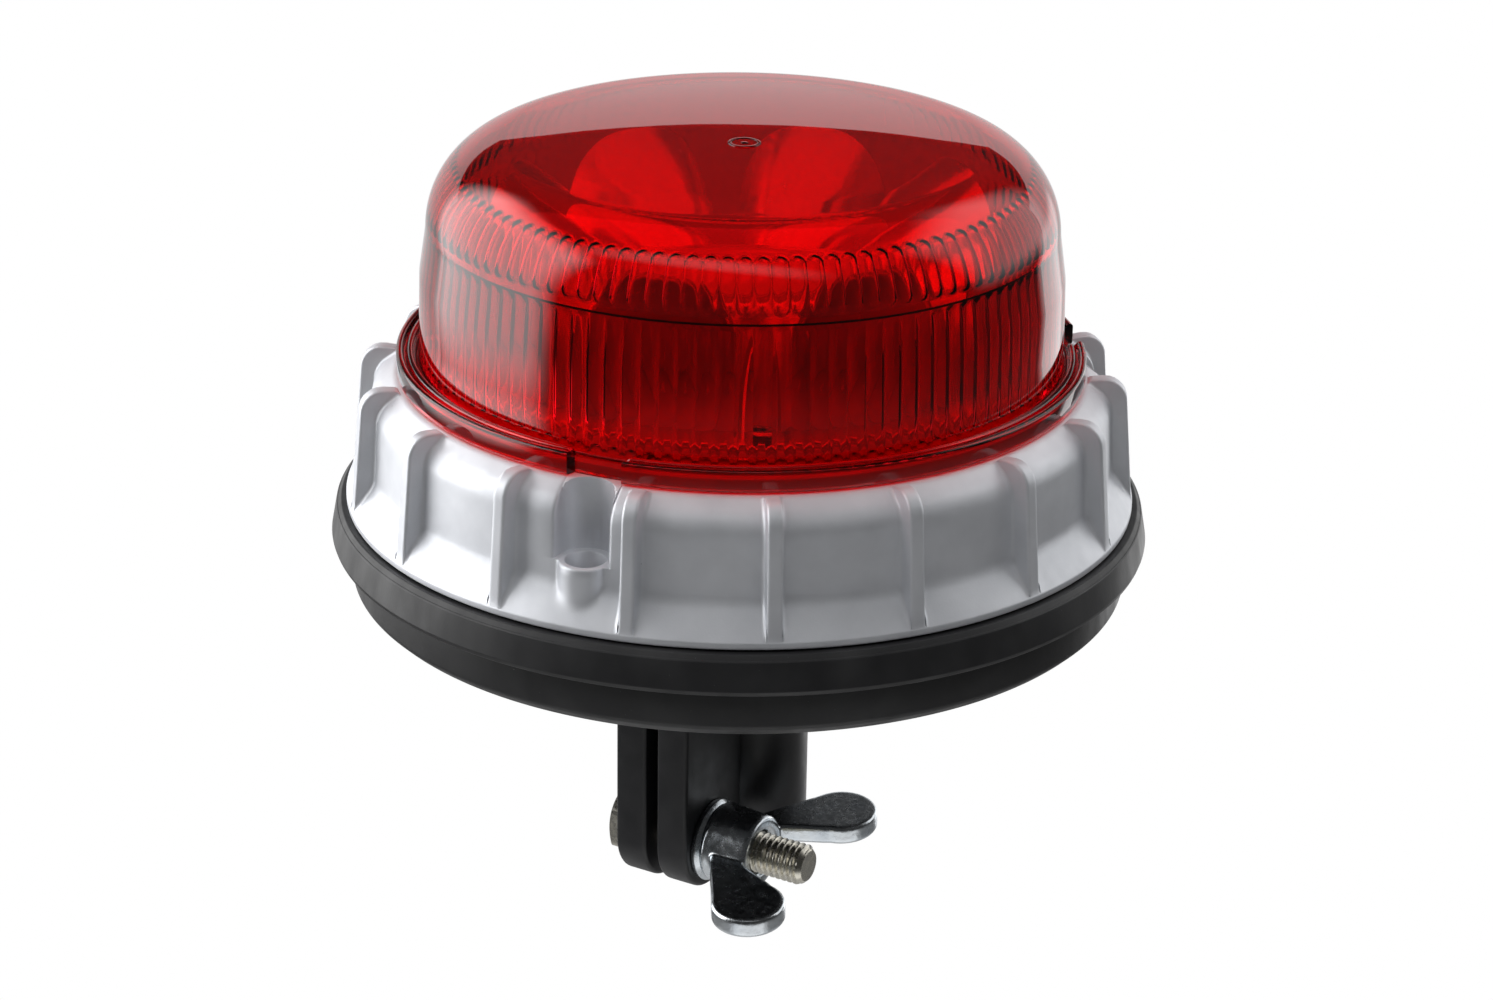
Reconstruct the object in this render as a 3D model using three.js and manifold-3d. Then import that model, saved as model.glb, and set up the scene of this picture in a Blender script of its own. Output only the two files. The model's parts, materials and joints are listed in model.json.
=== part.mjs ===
// Pole-mounted LED warning beacon: red lens, ribbed die-cast housing, black base and clamping socket.
// Units are millimetres, +Z is up the beacon's axis, and the origin is the centre of the socket's mouth.
// The clamp bolt lies along +X and the clamp ears point along -Y.
import * as THREE from "three";
import { mergeVertices } from "three/addons/utils/BufferGeometryUtils.js";
import Module from "manifold-3d";

const wasm = await Module();
wasm.setup();

// Driving dimensions
const ROUND_STEPS = 36; // facets of every large turned part, so that neighbours nest facet to facet
const GAP = 0.3; // clearance left where one part is fitted inside another
const FACE_GAP = 0.1; // clearance left where two flat faces meet

const POLE_BORE_R = 12.25; // takes a 24 mm pole
const BARREL_R = 14.1;
const POLE_STOP_Z = 50;
const BARREL_TOP_Z = 64;
const EAR_HALF = 7.8;
const EAR_FRONT_Y = -31.55;
const SLIT_WIDTH = 2.3;
const SLIT_TOP_Z = 46;
const BOLT_Y = -22.05;
const BOLT_Z = 9.6;
const BOLT_R = 3.95; // M8
const BOLT_TIP_X = 29;
const BOLT_LENGTH = 35;
const HEX_AF = 13;
const HEX_HEIGHT = 5.3;
const HEX_POCKET = 1.7;
const WASHER_R = 8;
const WASHER_THICK = 1.6;
const NUT_BASE_X = EAR_HALF + WASHER_THICK + 2 * FACE_GAP;
const NUT_LENGTH = 9.5;
const WING_THICK = 3.8;
const WING_TURN = 5; // degrees about the bolt, as tightened

const FLOOR_LOW_Z = 48;
const FLOOR_TOP_Z = 51;
const BOWL_R = 73.3;
const SEAM_Z = 65.5;
const RIM_Z = 73; // underside of the metal ring
const BAND_R = 77;
const RING_FOOT_R = 74.1;
const RING_WALL_R = 69.4;
const RING_TOP_Z = 97.5;
const RING_TOP_R = 64.6;
const RIB_COUNT = 18;
const RIB_START = 5;
const RIB_THICK = 2.9;
const BOSS_COUNT = 3;
const BOSS_START = 37;
const BOSS_AT_R = 67.3;
const BOSS_R = 4.75;
const BOSS_TOP_Z = 84.2;
const POCKET_R = 5.1;
const DECK_LOW_Z = 95.3;
const DECK_TOP_Z = 98.5;
const DECK_SCREW_AT_R = 48.7;

const FLANGE_R = 64.2;
const FLANGE_LOW_Z = 97.7;
const FLANGE_TOP_Z = 101.9;
const LENS_R = 59.85;
const LENS_WALL = 2.4;
const LENS_SHOULDER_Z = 125.05;
const LENS_SHOULDER_R = 58.33;
const LENS_CROWN_R = 42.6;
const LENS_EDGE_Z = 141.15;
const LENS_TOP_Z = 143.9;

const CUP_COUNT = 8;
const CUP_START = 12.5;
const CUP_FACE = 45.5; // distance of each cup's mouth from the axis
const CUP_APEX = 18.4;
const CUP_HALF_WIDTH = 14.75;
const CUP_HEIGHT = 27.8;
const CUP_SQUARENESS = 2.9; // exponent of the superellipse of a cup's arch
const CUP_WALL = 1.2;
const CUP_FOCUS = 25.5;
const REFLECTOR_LOW_Z = 100.9;
const REFLECTOR_RIM_R = 51.4;
const HUB_R = 24;
const HUB_TOP_Z = 117.6;

const BOARD_Z = 82.2; // underside of the driver board
const BOARD_R = 49;
const POST_COUNT = 3;
const POST_START = 97;
const POST_AT_R = 43;

const radians = THREE.MathUtils.degToRad;

// Materials
function finish(color, roughness, metalness) {
  return new THREE.MeshStandardMaterial({ color, roughness, metalness });
}
const redLens = new THREE.MeshStandardMaterial({
  color: 0xb00812,
  roughness: 0.08,
  metalness: 0,
  transparent: true,
  opacity: 0.45,
});
const castMetal = finish(0xb9bdc2, 0.42, 0.85);
const blackRubber = finish(0x1b1b1d, 0.7, 0);
const blackPlastic = finish(0x1d1d20, 0.45, 0);
const zinc = finish(0xc3c9cc, 0.3, 1);
const steel = finish(0xb3b0a4, 0.35, 1);
const mirror = finish(0xe4e4e6, 0.08, 1);
const whiteBoard = finish(0xe8e8e4, 0.6, 0);
const greenBoard = finish(0x1f5a36, 0.5, 0);
const ledBody = finish(0xf0e2b0, 0.35, 0);
const greyPad = finish(0x8d9096, 0.9, 0);
const paper = finish(0xd8d8d4, 0.6, 0);
const brass = finish(0xb99347, 0.3, 1);
const chipBlack = finish(0x202022, 0.5, 0);
const canSleeve = finish(0x25303a, 0.4, 0.2);
const ferrite = finish(0x3a3a3d, 0.7, 0);
const redWire = finish(0x8e1c18, 0.5, 0);
const brownWire = finish(0x5a3a22, 0.5, 0);
const whiteNylon = finish(0xdedcd2, 0.5, 0);

// Solids
function toSolid(geometry) {
  const bare = new THREE.BufferGeometry();
  bare.setAttribute("position", geometry.getAttribute("position"));
  if (geometry.index) bare.setIndex(geometry.index);
  const merged = mergeVertices(bare, 1e-4);
  const vertProperties = new Float32Array(merged.getAttribute("position").array);
  const triVerts = new Uint32Array(merged.index.array);
  return new wasm.Manifold(new wasm.Mesh({ numProp: 3, vertProperties, triVerts }));
}

function toGeometry(solid) {
  const { vertProperties, triVerts } = solid.getMesh();
  const geometry = new THREE.BufferGeometry();
  geometry.setAttribute("position", new THREE.BufferAttribute(new Float32Array(vertProperties), 3));
  geometry.setIndex(new THREE.BufferAttribute(new Uint32Array(triVerts), 1));
  geometry.computeVertexNormals();
  return geometry;
}

function join(first, ...others) {
  return toGeometry(others.reduce((sum, item) => sum.add(toSolid(item)), toSolid(first)));
}

function cut(base, ...tools) {
  return toGeometry(tools.reduce((rest, tool) => rest.subtract(toSolid(tool)), toSolid(base)));
}

function common(first, second) {
  return toGeometry(toSolid(first).intersect(toSolid(second)));
}

// Basic shapes
function turned(profile, steps = ROUND_STEPS) {
  const points = profile.map(([r, z]) => new THREE.Vector2(r, z));
  if (THREE.ShapeUtils.area(points) < 0) points.reverse();
  const closesOnAxis = points[0].x === 0 && points.at(-1).x === 0;
  if (!closesOnAxis) points.push(points[0].clone());
  return new THREE.LatheGeometry(points, steps).rotateX(Math.PI / 2);
}

function ring(innerR, outerR, lowZ, topZ, steps = ROUND_STEPS) {
  const profile = [[innerR, lowZ], [outerR, lowZ], [outerR, topZ], [innerR, topZ]];
  return turned(profile, steps);
}

function rod(radius, lowZ, topZ, x = 0, y = 0, steps = 20) {
  const geometry = new THREE.CylinderGeometry(radius, radius, topZ - lowZ, steps);
  return geometry.rotateX(Math.PI / 2).translate(x, y, (lowZ + topZ) / 2);
}

function holesAt(places, radius, lowZ, topZ) {
  return places.map(([x, y]) => rod(radius, lowZ, topZ, x, y, 8));
}

function rodAlongX(radius, lowX, highX, steps = 24) {
  const geometry = new THREE.CylinderGeometry(radius, radius, highX - lowX, steps);
  return geometry.rotateZ(-Math.PI / 2).translate((lowX + highX) / 2, BOLT_Y, BOLT_Z);
}

function block(lowX, highX, lowY, highY, lowZ, highZ) {
  const geometry = new THREE.BoxGeometry(highX - lowX, highY - lowY, highZ - lowZ);
  return geometry.translate((lowX + highX) / 2, (lowY + highY) / 2, (lowZ + highZ) / 2);
}

function arcPoints(centreR, centreZ, radiusR, radiusZ, startDegrees, endDegrees, steps) {
  const points = [];
  for (let i = 0; i <= steps; i += 1) {
    const angle = radians(startDegrees + ((endDegrees - startDegrees) * i) / steps);
    points.push([centreR + radiusR * Math.cos(angle), centreZ + radiusZ * Math.sin(angle)]);
  }
  return points;
}

function extruded(shape, depth, curveSegments = 8) {
  return new THREE.ExtrudeGeometry(shape, { depth, bevelEnabled: false, curveSegments });
}

function outline(points) {
  return new THREE.Shape(points.map(([x, y]) => new THREE.Vector2(x, y)));
}

// A plate standing on edge along a radius: its outline is given as [r, z] points.
function radialPlate(points, thickness) {
  return extruded(outline(points), thickness).translate(0, 0, -thickness / 2).rotateX(Math.PI / 2);
}

function polar(radius, degrees) {
  return [radius * Math.cos(radians(degrees)), radius * Math.sin(radians(degrees))];
}

function around(count, startDegrees) {
  return Array.from({ length: count }, (_, i) => startDegrees + (i * 360) / count);
}

function wire(points, radius) {
  const path = new THREE.CatmullRomCurve3(points.map(([x, y, z]) => new THREE.Vector3(x, y, z)));
  const section = new THREE.Shape();
  section.absarc(0, 0, radius, 0, 2 * Math.PI, false);
  const options = { steps: 14, bevelEnabled: false, curveSegments: 3, extrudePath: path };
  return new THREE.ExtrudeGeometry(section, options);
}

const beacon = new THREE.Group();
beacon.name = "led_warning_beacon";

function add(name, geometry, material, parent = beacon) {
  const mesh = new THREE.Mesh(geometry, material);
  mesh.name = name;
  parent.add(mesh);
  return mesh;
}

// Lens: one moulding with a mounting flange and a short spigot that enters the metal ring.
function lensGeometry() {
  const crownSag = LENS_TOP_Z - LENS_EDGE_Z;
  const outer = [
    [LENS_R, FLANGE_TOP_Z - 1.2],
    [LENS_R, FLANGE_TOP_Z],
    ...arcPoints(LENS_CROWN_R, LENS_SHOULDER_Z, LENS_SHOULDER_R - LENS_CROWN_R,
      LENS_EDGE_Z - LENS_SHOULDER_Z, 0, 86, 5),
    [LENS_CROWN_R * 0.62, LENS_EDGE_Z + crownSag * 0.6],
    [0, LENS_TOP_Z],
  ];
  const inner = [
    [0, LENS_TOP_Z - LENS_WALL],
    [LENS_CROWN_R * 0.62, LENS_EDGE_Z + crownSag * 0.6 - LENS_WALL],
    ...arcPoints(LENS_CROWN_R, LENS_SHOULDER_Z, LENS_SHOULDER_R - LENS_CROWN_R - LENS_WALL,
      LENS_EDGE_Z - LENS_SHOULDER_Z - LENS_WALL, 86, 0, 3),
    [LENS_R - LENS_WALL, 94.6],
  ];
  const flange = [
    [LENS_R + 0.3, 94.6],
    [LENS_R + 0.3, FLANGE_LOW_Z],
    [FLANGE_R, FLANGE_LOW_Z],
    [FLANGE_R, FLANGE_TOP_Z - 0.8],
    [FLANGE_R - 0.9, FLANGE_TOP_Z],
    [FLANGE_R - 1.9, FLANGE_TOP_Z - 1.2],
  ];
  const shell = turned([...inner, ...flange, ...outer]);
  const notches = around(BOSS_COUNT, BOSS_START).map((angle) =>
    block(FLANGE_R - 2.3, FLANGE_R + 2, -4.7, 4.7, FLANGE_LOW_Z - 1, FLANGE_TOP_Z + 1)
      .rotateZ(radians(angle)));
  return cut(shell, ...notches);
}

// Metal ring: outer wall, deck for the LED board, ribs, screw bosses and posts for the driver board.
function ringShell() {
  return turned([
    [RING_FOOT_R, RIM_Z],
    [RING_FOOT_R, RIM_Z + 1.1],
    [71.2, RIM_Z + 3.8],
    [RING_WALL_R, RIM_Z + 8.5],
    [RING_WALL_R - 0.5, 90.5],
    [67.6, 95.2],
    [RING_TOP_R, RING_TOP_Z],
    [61.8, RING_TOP_Z],
    [61.8, RING_TOP_Z - 0.9],
    [LENS_R + 0.6, RING_TOP_Z - 0.9],
    [LENS_R + 0.6, 94.2],
    [57, 94.2],
    [57, DECK_TOP_Z],
    [7, DECK_TOP_Z],
    [7, DECK_LOW_Z],
    [55.5, DECK_LOW_Z],
    [57.5, 91.2],
    [65.6, 90.6],
    [66.5, RIM_Z + 8.5],
    [68.6, RIM_Z + 3.5],
    [68.6, RIM_Z],
  ]);
}

function ribGeometry(angle) {
  const outerEdge = arcPoints(67.8, 93.9, 4.3, 4.3, 90, 0, 2);
  const points = [[64.9, RING_TOP_Z - 0.4], ...outerEdge, [RING_FOOT_R - 0.2, RIM_Z + 1], [68.8, RIM_Z + 1]];
  return radialPlate([...points, [67.2, 88], [64.9, 94]], RIB_THICK).rotateZ(radians(angle));
}

function ringGeometry() {
  const ribs = around(RIB_COUNT, RIB_START).map(ribGeometry);
  const bosses = around(BOSS_COUNT, BOSS_START).map((angle) => polar(BOSS_AT_R, angle));
  const backing = bosses.map(([x, y]) => rod(POCKET_R + 2, BOSS_TOP_Z - 6, 93.4, x, y, 12));
  const columns = bosses.map(([x, y]) => rod(BOSS_R, RIM_Z, BOSS_TOP_Z, x, y, 16));
  const envelope = turned([
    [0, RIM_Z],
    [RING_FOOT_R, RIM_Z],
    [RING_WALL_R, RIM_Z + 9],
    [RING_WALL_R - 0.5, 93.4],
    [0, 93.4],
  ]);
  const behindPocket = backing.map((item) => common(item, envelope));
  const posts = around(POST_COUNT, POST_START).map((angle) => {
    const [x, y] = polar(POST_AT_R, angle);
    return rod(3.5, BOARD_Z + 1.7, DECK_LOW_Z + 1, x, y, 10);
  });
  const whole = join(ringShell(), ...ribs, ...behindPocket, ...posts);
  const pockets = bosses.map(([x, y]) => rod(POCKET_R, BOSS_TOP_Z, RING_TOP_Z + 2, x, y, 16));
  const opened = join(cut(whole, ...pockets), ...columns);
  const counterbores = bosses.map(([x, y]) => rod(3.45, 77, BOSS_TOP_Z + 1, x, y, 14));
  const screwHoles = bosses.map(([x, y]) => rod(2.2, RIM_Z - 1, 78, x, y, 8));
  const postHoles = around(POST_COUNT, POST_START).map((angle) => {
    const [x, y] = polar(POST_AT_R, angle);
    return rod(1.6, BOARD_Z, DECK_LOW_Z - 1, x, y, 8);
  });
  const deckHoles = deckScrewPlaces().map(([x, y]) => rod(1.7, DECK_LOW_Z - 5, DECK_TOP_Z + 1, x, y, 8));
  return cut(opened, ...counterbores, ...screwHoles, ...postHoles, ...deckHoles);
}

// Between the cups, screws go down through the reflector's rim and the LED board into the deck.
function deckScrewPlaces() {
  return around(CUP_COUNT / 2, CUP_START + 180 / CUP_COUNT).map((angle) => polar(DECK_SCREW_AT_R, angle));
}

// Base: a shallow black bowl with a flat floor, three screw posts and a stepped rim for the band.
function bowlGeometry() {
  const shell = turned([
    [71.9, RIM_Z - GAP],
    [71.9, SEAM_Z - 0.2],
    [BOWL_R, SEAM_Z - 0.2],
    [BOWL_R, 57.6],
    [71.4, 55.8],
    [46, FLOOR_LOW_Z],
    [BARREL_R + 0.5, FLOOR_LOW_Z],
    [BARREL_R + 0.5, FLOOR_TOP_Z],
    [45, FLOOR_TOP_Z],
    [68.7, 59],
    [68.7, RIM_Z - GAP],
  ]);
  const places = around(BOSS_COUNT, BOSS_START).map((angle) => polar(BOSS_AT_R, angle));
  const posts = places.map(([x, y]) => rod(4.2, 57.5, RIM_Z - GAP, x, y, 12));
  const vent = rod(3.6, FLOOR_LOW_Z - 1, FLOOR_TOP_Z + 1, ...polar(36, 217), 16);
  const screwHoles = places.map(([x, y]) => rod(2.1, 60, RIM_Z + 1, x, y, 8));
  const socketHoles = holesAt(socketScrewPlaces(), 1.8, FLOOR_LOW_Z - 1, FLOOR_TOP_Z + 1);
  const groove = ring(69.5, 71.2, RIM_Z - 1.4, RIM_Z + 1);
  return cut(join(shell, ...posts), groove, vent, ...screwHoles, ...socketHoles);
}

function bandGeometry() {
  return turned([
    [72.2, SEAM_Z],
    [BAND_R - 0.3, SEAM_Z],
    [BAND_R, SEAM_Z + 0.9],
    [75.8, RIM_Z - 1.2],
    [75.1, RIM_Z - 0.4],
    [72.2, RIM_Z - 0.4],
  ]);
}

// Socket: barrel, two clamp ears with a slit between them, and a flange screwed to the bowl's floor.
function earsGeometry() {
  const profile = new THREE.Shape();
  profile.moveTo(-10, FLOOR_LOW_Z - FACE_GAP);
  profile.lineTo(EAR_FRONT_Y, FLOOR_LOW_Z - FACE_GAP);
  profile.lineTo(EAR_FRONT_Y, BOLT_Z);
  profile.absarc(BOLT_Y, BOLT_Z, BOLT_Y - EAR_FRONT_Y, Math.PI, 1.5 * Math.PI, false);
  profile.lineTo(-10, BOLT_Z + EAR_FRONT_Y - BOLT_Y);
  const ears = extruded(profile, 2 * EAR_HALF, 6).translate(0, 0, -EAR_HALF);
  return ears.rotateY(Math.PI / 2).rotateX(Math.PI / 2);
}

function socketScrewPlaces() {
  return around(3, 90).map((angle) => polar(23, angle));
}

function socketGeometry() {
  const steps = 24;
  const barrel = rod(BARREL_R, 0, BARREL_TOP_Z, 0, 0, steps);
  const flange = rod(28, FLOOR_TOP_Z + FACE_GAP, FLOOR_TOP_Z + 3.5, 0, 0, steps);
  const bore = rod(POLE_BORE_R, -1, POLE_STOP_Z, 0, 0, steps);
  const throat = rod(9.5, POLE_STOP_Z - 1, POLE_STOP_Z + 3, 0, 0, steps);
  const chamber = rod(POLE_BORE_R, POLE_STOP_Z + 2, BARREL_TOP_Z + 1, 0, 0, steps);
  const slit = block(-SLIT_WIDTH / 2, SLIT_WIDTH / 2, EAR_FRONT_Y - 2, -5, -1, SLIT_TOP_Z);
  const boltHole = rodAlongX(4.4, -EAR_HALF - 1, EAR_HALF + 1, 16);
  const pocket = hexPrism(HEX_AF + 0.8, -EAR_HALF - 2, -EAR_HALF + HEX_POCKET);
  const screwHoles = holesAt(socketScrewPlaces(), 1.8, FLOOR_TOP_Z - 1, FLOOR_TOP_Z + 5);
  const body = join(barrel, earsGeometry(), flange);
  return cut(body, bore, throat, chamber, slit, boltHole, pocket, ...screwHoles);
}

function hexPrism(acrossFlats, lowX, highX) {
  const cornerR = acrossFlats / Math.sqrt(3);
  const prism = new THREE.CylinderGeometry(cornerR, cornerR, highX - lowX, 6);
  return prism.rotateY(Math.PI / 6).rotateZ(-Math.PI / 2).translate((lowX + highX) / 2, BOLT_Y, BOLT_Z);
}

function boltGeometry() {
  const underHead = BOLT_TIP_X - BOLT_LENGTH;
  const shank = rodAlongX(BOLT_R, underHead - 1, BOLT_TIP_X, 16);
  return join(shank, hexPrism(HEX_AF, underHead - HEX_HEIGHT, underHead - 0.1));
}

// The washer and the nut are turned about Z and then laid along the bolt.
function alongBolt(geometry, x) {
  return geometry.rotateY(Math.PI / 2).translate(x, BOLT_Y, BOLT_Z);
}

function washerGeometry() {
  const profile = [
    [4.3, 0],
    [WASHER_R, 0],
    [WASHER_R, 0.9],
    [WASHER_R - 0.8, WASHER_THICK],
    [4.3, WASHER_THICK],
  ];
  return alongBolt(turned(profile, 20), EAR_HALF + FACE_GAP);
}

function wingShape(side) {
  const shape = new THREE.Shape();
  shape.moveTo(1.2, 5.5 * side);
  shape.quadraticCurveTo(4.6, 11.5 * side, 10.3, 20.6 * side);
  shape.absarc(16.6, 17.8 * side, 6.9, side * radians(156), side * radians(-86), side > 0);
  shape.quadraticCurveTo(12.5, 8.6 * side, NUT_LENGTH - 0.2, 6.6 * side);
  shape.lineTo(NUT_LENGTH - 0.2, 5.2 * side);
  return shape;
}

function wingNutGeometry() {
  const hub = turned([
    [4.3, 0],
    [7.8, 0],
    [7.6, 1.6],
    [7.1, NUT_LENGTH],
    [4.3, NUT_LENGTH],
  ], 20);
  const hubAlongX = hub.rotateY(Math.PI / 2);
  const wings = [1, -1].map((side) => extruded(wingShape(side), WING_THICK, 7));
  wings.forEach((wing) => wing.translate(0, 0, -WING_THICK / 2));
  const bore = new THREE.CylinderGeometry(4.3, 4.3, 40, 20).rotateZ(Math.PI / 2);
  const nut = cut(join(hubAlongX, ...wings), bore);
  return nut.rotateX(radians(WING_TURN)).translate(NUT_BASE_X, BOLT_Y, BOLT_Z);
}

// Contacts at the top of the socket: an insulating carrier, a sprung centre pin and a flat earth ring.
function carrierGeometry() {
  return turned([
    [9.1, POLE_STOP_Z + 0.2],
    [9.1, POLE_STOP_Z + 2 + FACE_GAP],
    [POLE_BORE_R - GAP, POLE_STOP_Z + 2 + FACE_GAP],
    [POLE_BORE_R - GAP, 63],
    [1.7, 63],
    [1.7, 62],
    [4.4, 62],
    [4.4, 53],
    [2.7, 53],
    [2.7, POLE_STOP_Z + 0.2],
  ], 24);
}

function centreContactGeometry() {
  return turned([
    [0, 46.8],
    [1.5, 47.1],
    [2.3, 48],
    [2.3, 53.1],
    [3.9, 53.1],
    [3.9, 54.3],
    [1.4, 54.3],
    [1.4, 54.9],
    [0, 54.9],
  ], 14);
}

class SpringPath extends THREE.Curve {
  getPoint(t, target = new THREE.Vector3()) {
    const turns = 3.5;
    const angle = 2 * Math.PI * turns * t;
    return target.set(2.9 * Math.cos(angle), 2.9 * Math.sin(angle), 54.9 + 6.5 * t);
  }
}

function springGeometry() {
  const section = new THREE.Shape();
  section.absarc(0, 0, 0.35, 0, 2 * Math.PI, false);
  const options = { steps: 42, bevelEnabled: false, curveSegments: 3, extrudePath: new SpringPath() };
  return new THREE.ExtrudeGeometry(section, options);
}

// Reflector: eight arched parabolic cups facing outwards, tied to a round hub and to a flat rim.
function paraboloid(grow) {
  const rows = 4;
  const profile = [[0, -grow]];
  for (let i = 1; i <= rows; i += 1) profile.push([i / rows, (i * i) / (rows * rows)]);
  profile.push([1.06, 1.12], [0, 1.12]);
  const bowl = turned(profile, 16);
  const points = bowl.getAttribute("position");
  for (let i = 0; i < points.count; i += 1) {
    const [x, y] = [points.getX(i), points.getY(i)];
    const flat = Math.hypot(x, y);
    const squared = (Math.abs(x) ** CUP_SQUARENESS + Math.abs(y) ** CUP_SQUARENESS) ** (1 / CUP_SQUARENESS);
    const corner = flat > 0 ? flat / squared : 0;
    const along = points.getZ(i) < 0 ? points.getZ(i) : points.getZ(i) * (CUP_FACE - CUP_APEX) - grow * 0.3;
    points.setXYZ(i, -y * corner * (CUP_HEIGHT + grow), x * corner * (CUP_HALF_WIDTH + grow), along);
  }
  return bowl.rotateY(Math.PI / 2).translate(CUP_APEX, 0, REFLECTOR_LOW_Z);
}

function reflectorGeometry() {
  const angles = around(CUP_COUNT, CUP_START);
  const shells = angles.map((angle) => paraboloid(CUP_WALL).rotateZ(radians(angle)));
  const hollows = angles.map((angle) => paraboloid(0).rotateZ(radians(angle)));
  const corner = CUP_FACE / Math.cos(Math.PI / CUP_COUNT);
  const drum = new THREE.CylinderGeometry(corner, corner, CUP_HEIGHT + 10, CUP_COUNT)
    .rotateX(Math.PI / 2)
    .rotateZ(radians(CUP_START - 90 + 180 / CUP_COUNT))
    .translate(0, 0, REFLECTOR_LOW_Z + CUP_HEIGHT / 2 + 5);
  const cups = common(join(...shells), drum);
  const hub = turned([
    [0, HUB_TOP_Z],
    [HUB_R, HUB_TOP_Z],
    [HUB_R, REFLECTOR_LOW_Z],
    [HUB_R - 1.4, REFLECTOR_LOW_Z],
    [HUB_R - 1.4, HUB_TOP_Z - 1.4],
    [0, HUB_TOP_Z - 1.4],
  ], 24);
  const rim = ring(CUP_FACE - 0.6, REFLECTOR_RIM_R, REFLECTOR_LOW_Z, REFLECTOR_LOW_Z + CUP_WALL);
  const screwHoles = holesAt(deckScrewPlaces(), 1.6, REFLECTOR_LOW_Z - 1, REFLECTOR_LOW_Z + 3);
  return cut(join(cups, hub, rim), ...hollows, ...screwHoles);
}

function ledBoardGeometry() {
  const disc = ring(5, 52, DECK_TOP_Z + 0.6, DECK_TOP_Z + 2.2);
  return cut(disc, ...holesAt(deckScrewPlaces(), 1.8, DECK_TOP_Z, DECK_TOP_Z + 3));
}

function driverBoardGeometry() {
  const disc = rod(BOARD_R, BOARD_Z, BOARD_Z + 1.6, 0, 0, ROUND_STEPS);
  const holes = around(POST_COUNT, POST_START).map((angle) => polar(POST_AT_R, angle));
  return cut(disc, ...holes.map(([x, y]) => rod(1.7, BOARD_Z - 1, BOARD_Z + 3, x, y, 8)));
}

// A pan-head screw along Z: the head's flat face is at faceZ, and the shank runs away from it.
function screwGeometry(headR, headHeight, shankR, length, faceZ, direction) {
  const profile = [
    [0, 0],
    [0, length],
    [shankR, length],
    [shankR, 0],
    [headR, 0],
    [headR, -headHeight * 0.6],
    [headR * 0.7, -headHeight],
    [0, -headHeight],
  ];
  const points = profile.slice(1).map(([r, z]) => [r, faceZ + direction * z]);
  return turned(points, 8);
}

function addHousing() {
  add("lens", lensGeometry(), redLens);
  add("lens_seal", ring(LENS_R + 0.8, 61.5, RING_TOP_Z - 0.8, RING_TOP_Z + 0.1), blackRubber);
  add("housing_ring", ringGeometry(), castMetal);
  add("base_band", bandGeometry(), blackRubber);
  add("base_bowl", bowlGeometry(), blackPlastic);
  add("housing_seal", ring(69.7, 71, RIM_Z - 1.3, RIM_Z - FACE_GAP), blackRubber);
  around(BOSS_COUNT, BOSS_START).forEach((angle, i) => {
    const [x, y] = polar(BOSS_AT_R, angle);
    const screw = screwGeometry(3.1, 3, 1.8, 15, 77 + FACE_GAP, -1);
    add("housing_screw_" + (i + 1), screw.translate(x, y, 0), zinc);
  });
  const [ventX, ventY] = polar(36, 217);
  const vent = turned([
    [0, FLOOR_LOW_Z - 1.8],
    [4.6, FLOOR_LOW_Z - 1.5],
    [5.2, FLOOR_LOW_Z - FACE_GAP],
    [3.3, FLOOR_LOW_Z - FACE_GAP],
    [3.3, FLOOR_TOP_Z + 1],
    [0, FLOOR_TOP_Z + 1],
  ], 16);
  add("vent_plug", vent.translate(ventX, ventY, 0), blackPlastic);
}

function addClamp() {
  add("clamp_socket", socketGeometry(), blackPlastic);
  socketScrewPlaces().forEach(([x, y], i) => {
    const screw = screwGeometry(3, 2.2, 1.4, 6, FLOOR_TOP_Z + 3.6, -1);
    add("socket_screw_" + (i + 1), screw.translate(x, y, 0), zinc);
  });
  add("clamp_bolt", boltGeometry(), steel);
  add("flat_washer", washerGeometry(), zinc);
  add("wing_nut", wingNutGeometry(), zinc);
}

function addContacts() {
  add("contact_carrier", carrierGeometry(), blackPlastic);
  add("centre_contact", centreContactGeometry(), brass);
  add("contact_spring", springGeometry(), steel);
  add("earth_contact", ring(9.8, POLE_BORE_R - GAP, POLE_STOP_Z - 0.5, POLE_STOP_Z - FACE_GAP, 24), brass);
}

function addLightEngine() {
  add("thermal_pad", ring(8, 46, DECK_TOP_Z + 0.05, DECK_TOP_Z + 0.55, 24), greyPad);
  add("led_board", ledBoardGeometry(), whiteBoard);
  around(CUP_COUNT, CUP_START).forEach((angle, i) => {
    const chip = block(-1.7, 1.7, -1.7, 1.7, DECK_TOP_Z + 2.3, DECK_TOP_Z + 3);
    const emitter = rod(1.4, DECK_TOP_Z + 2.8, DECK_TOP_Z + 3.6, 0, 0, 12);
    const led = join(chip, emitter).translate(CUP_FOCUS, 0, 0).rotateZ(radians(angle));
    add("led_" + (i + 1), led, ledBody);
  });
  add("reflector", reflectorGeometry(), mirror);
  add("label_disc", rod(19, HUB_TOP_Z + 0.05, HUB_TOP_Z + 0.3, 0, 0, 24), paper);
  deckScrewPlaces().forEach(([x, y], i) => {
    const screw = screwGeometry(2.5, 1.8, 1.3, 7.5, REFLECTOR_LOW_Z + CUP_WALL + FACE_GAP, -1);
    add("reflector_screw_" + (i + 1), screw.translate(x, y, 0), zinc);
  });
}

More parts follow.
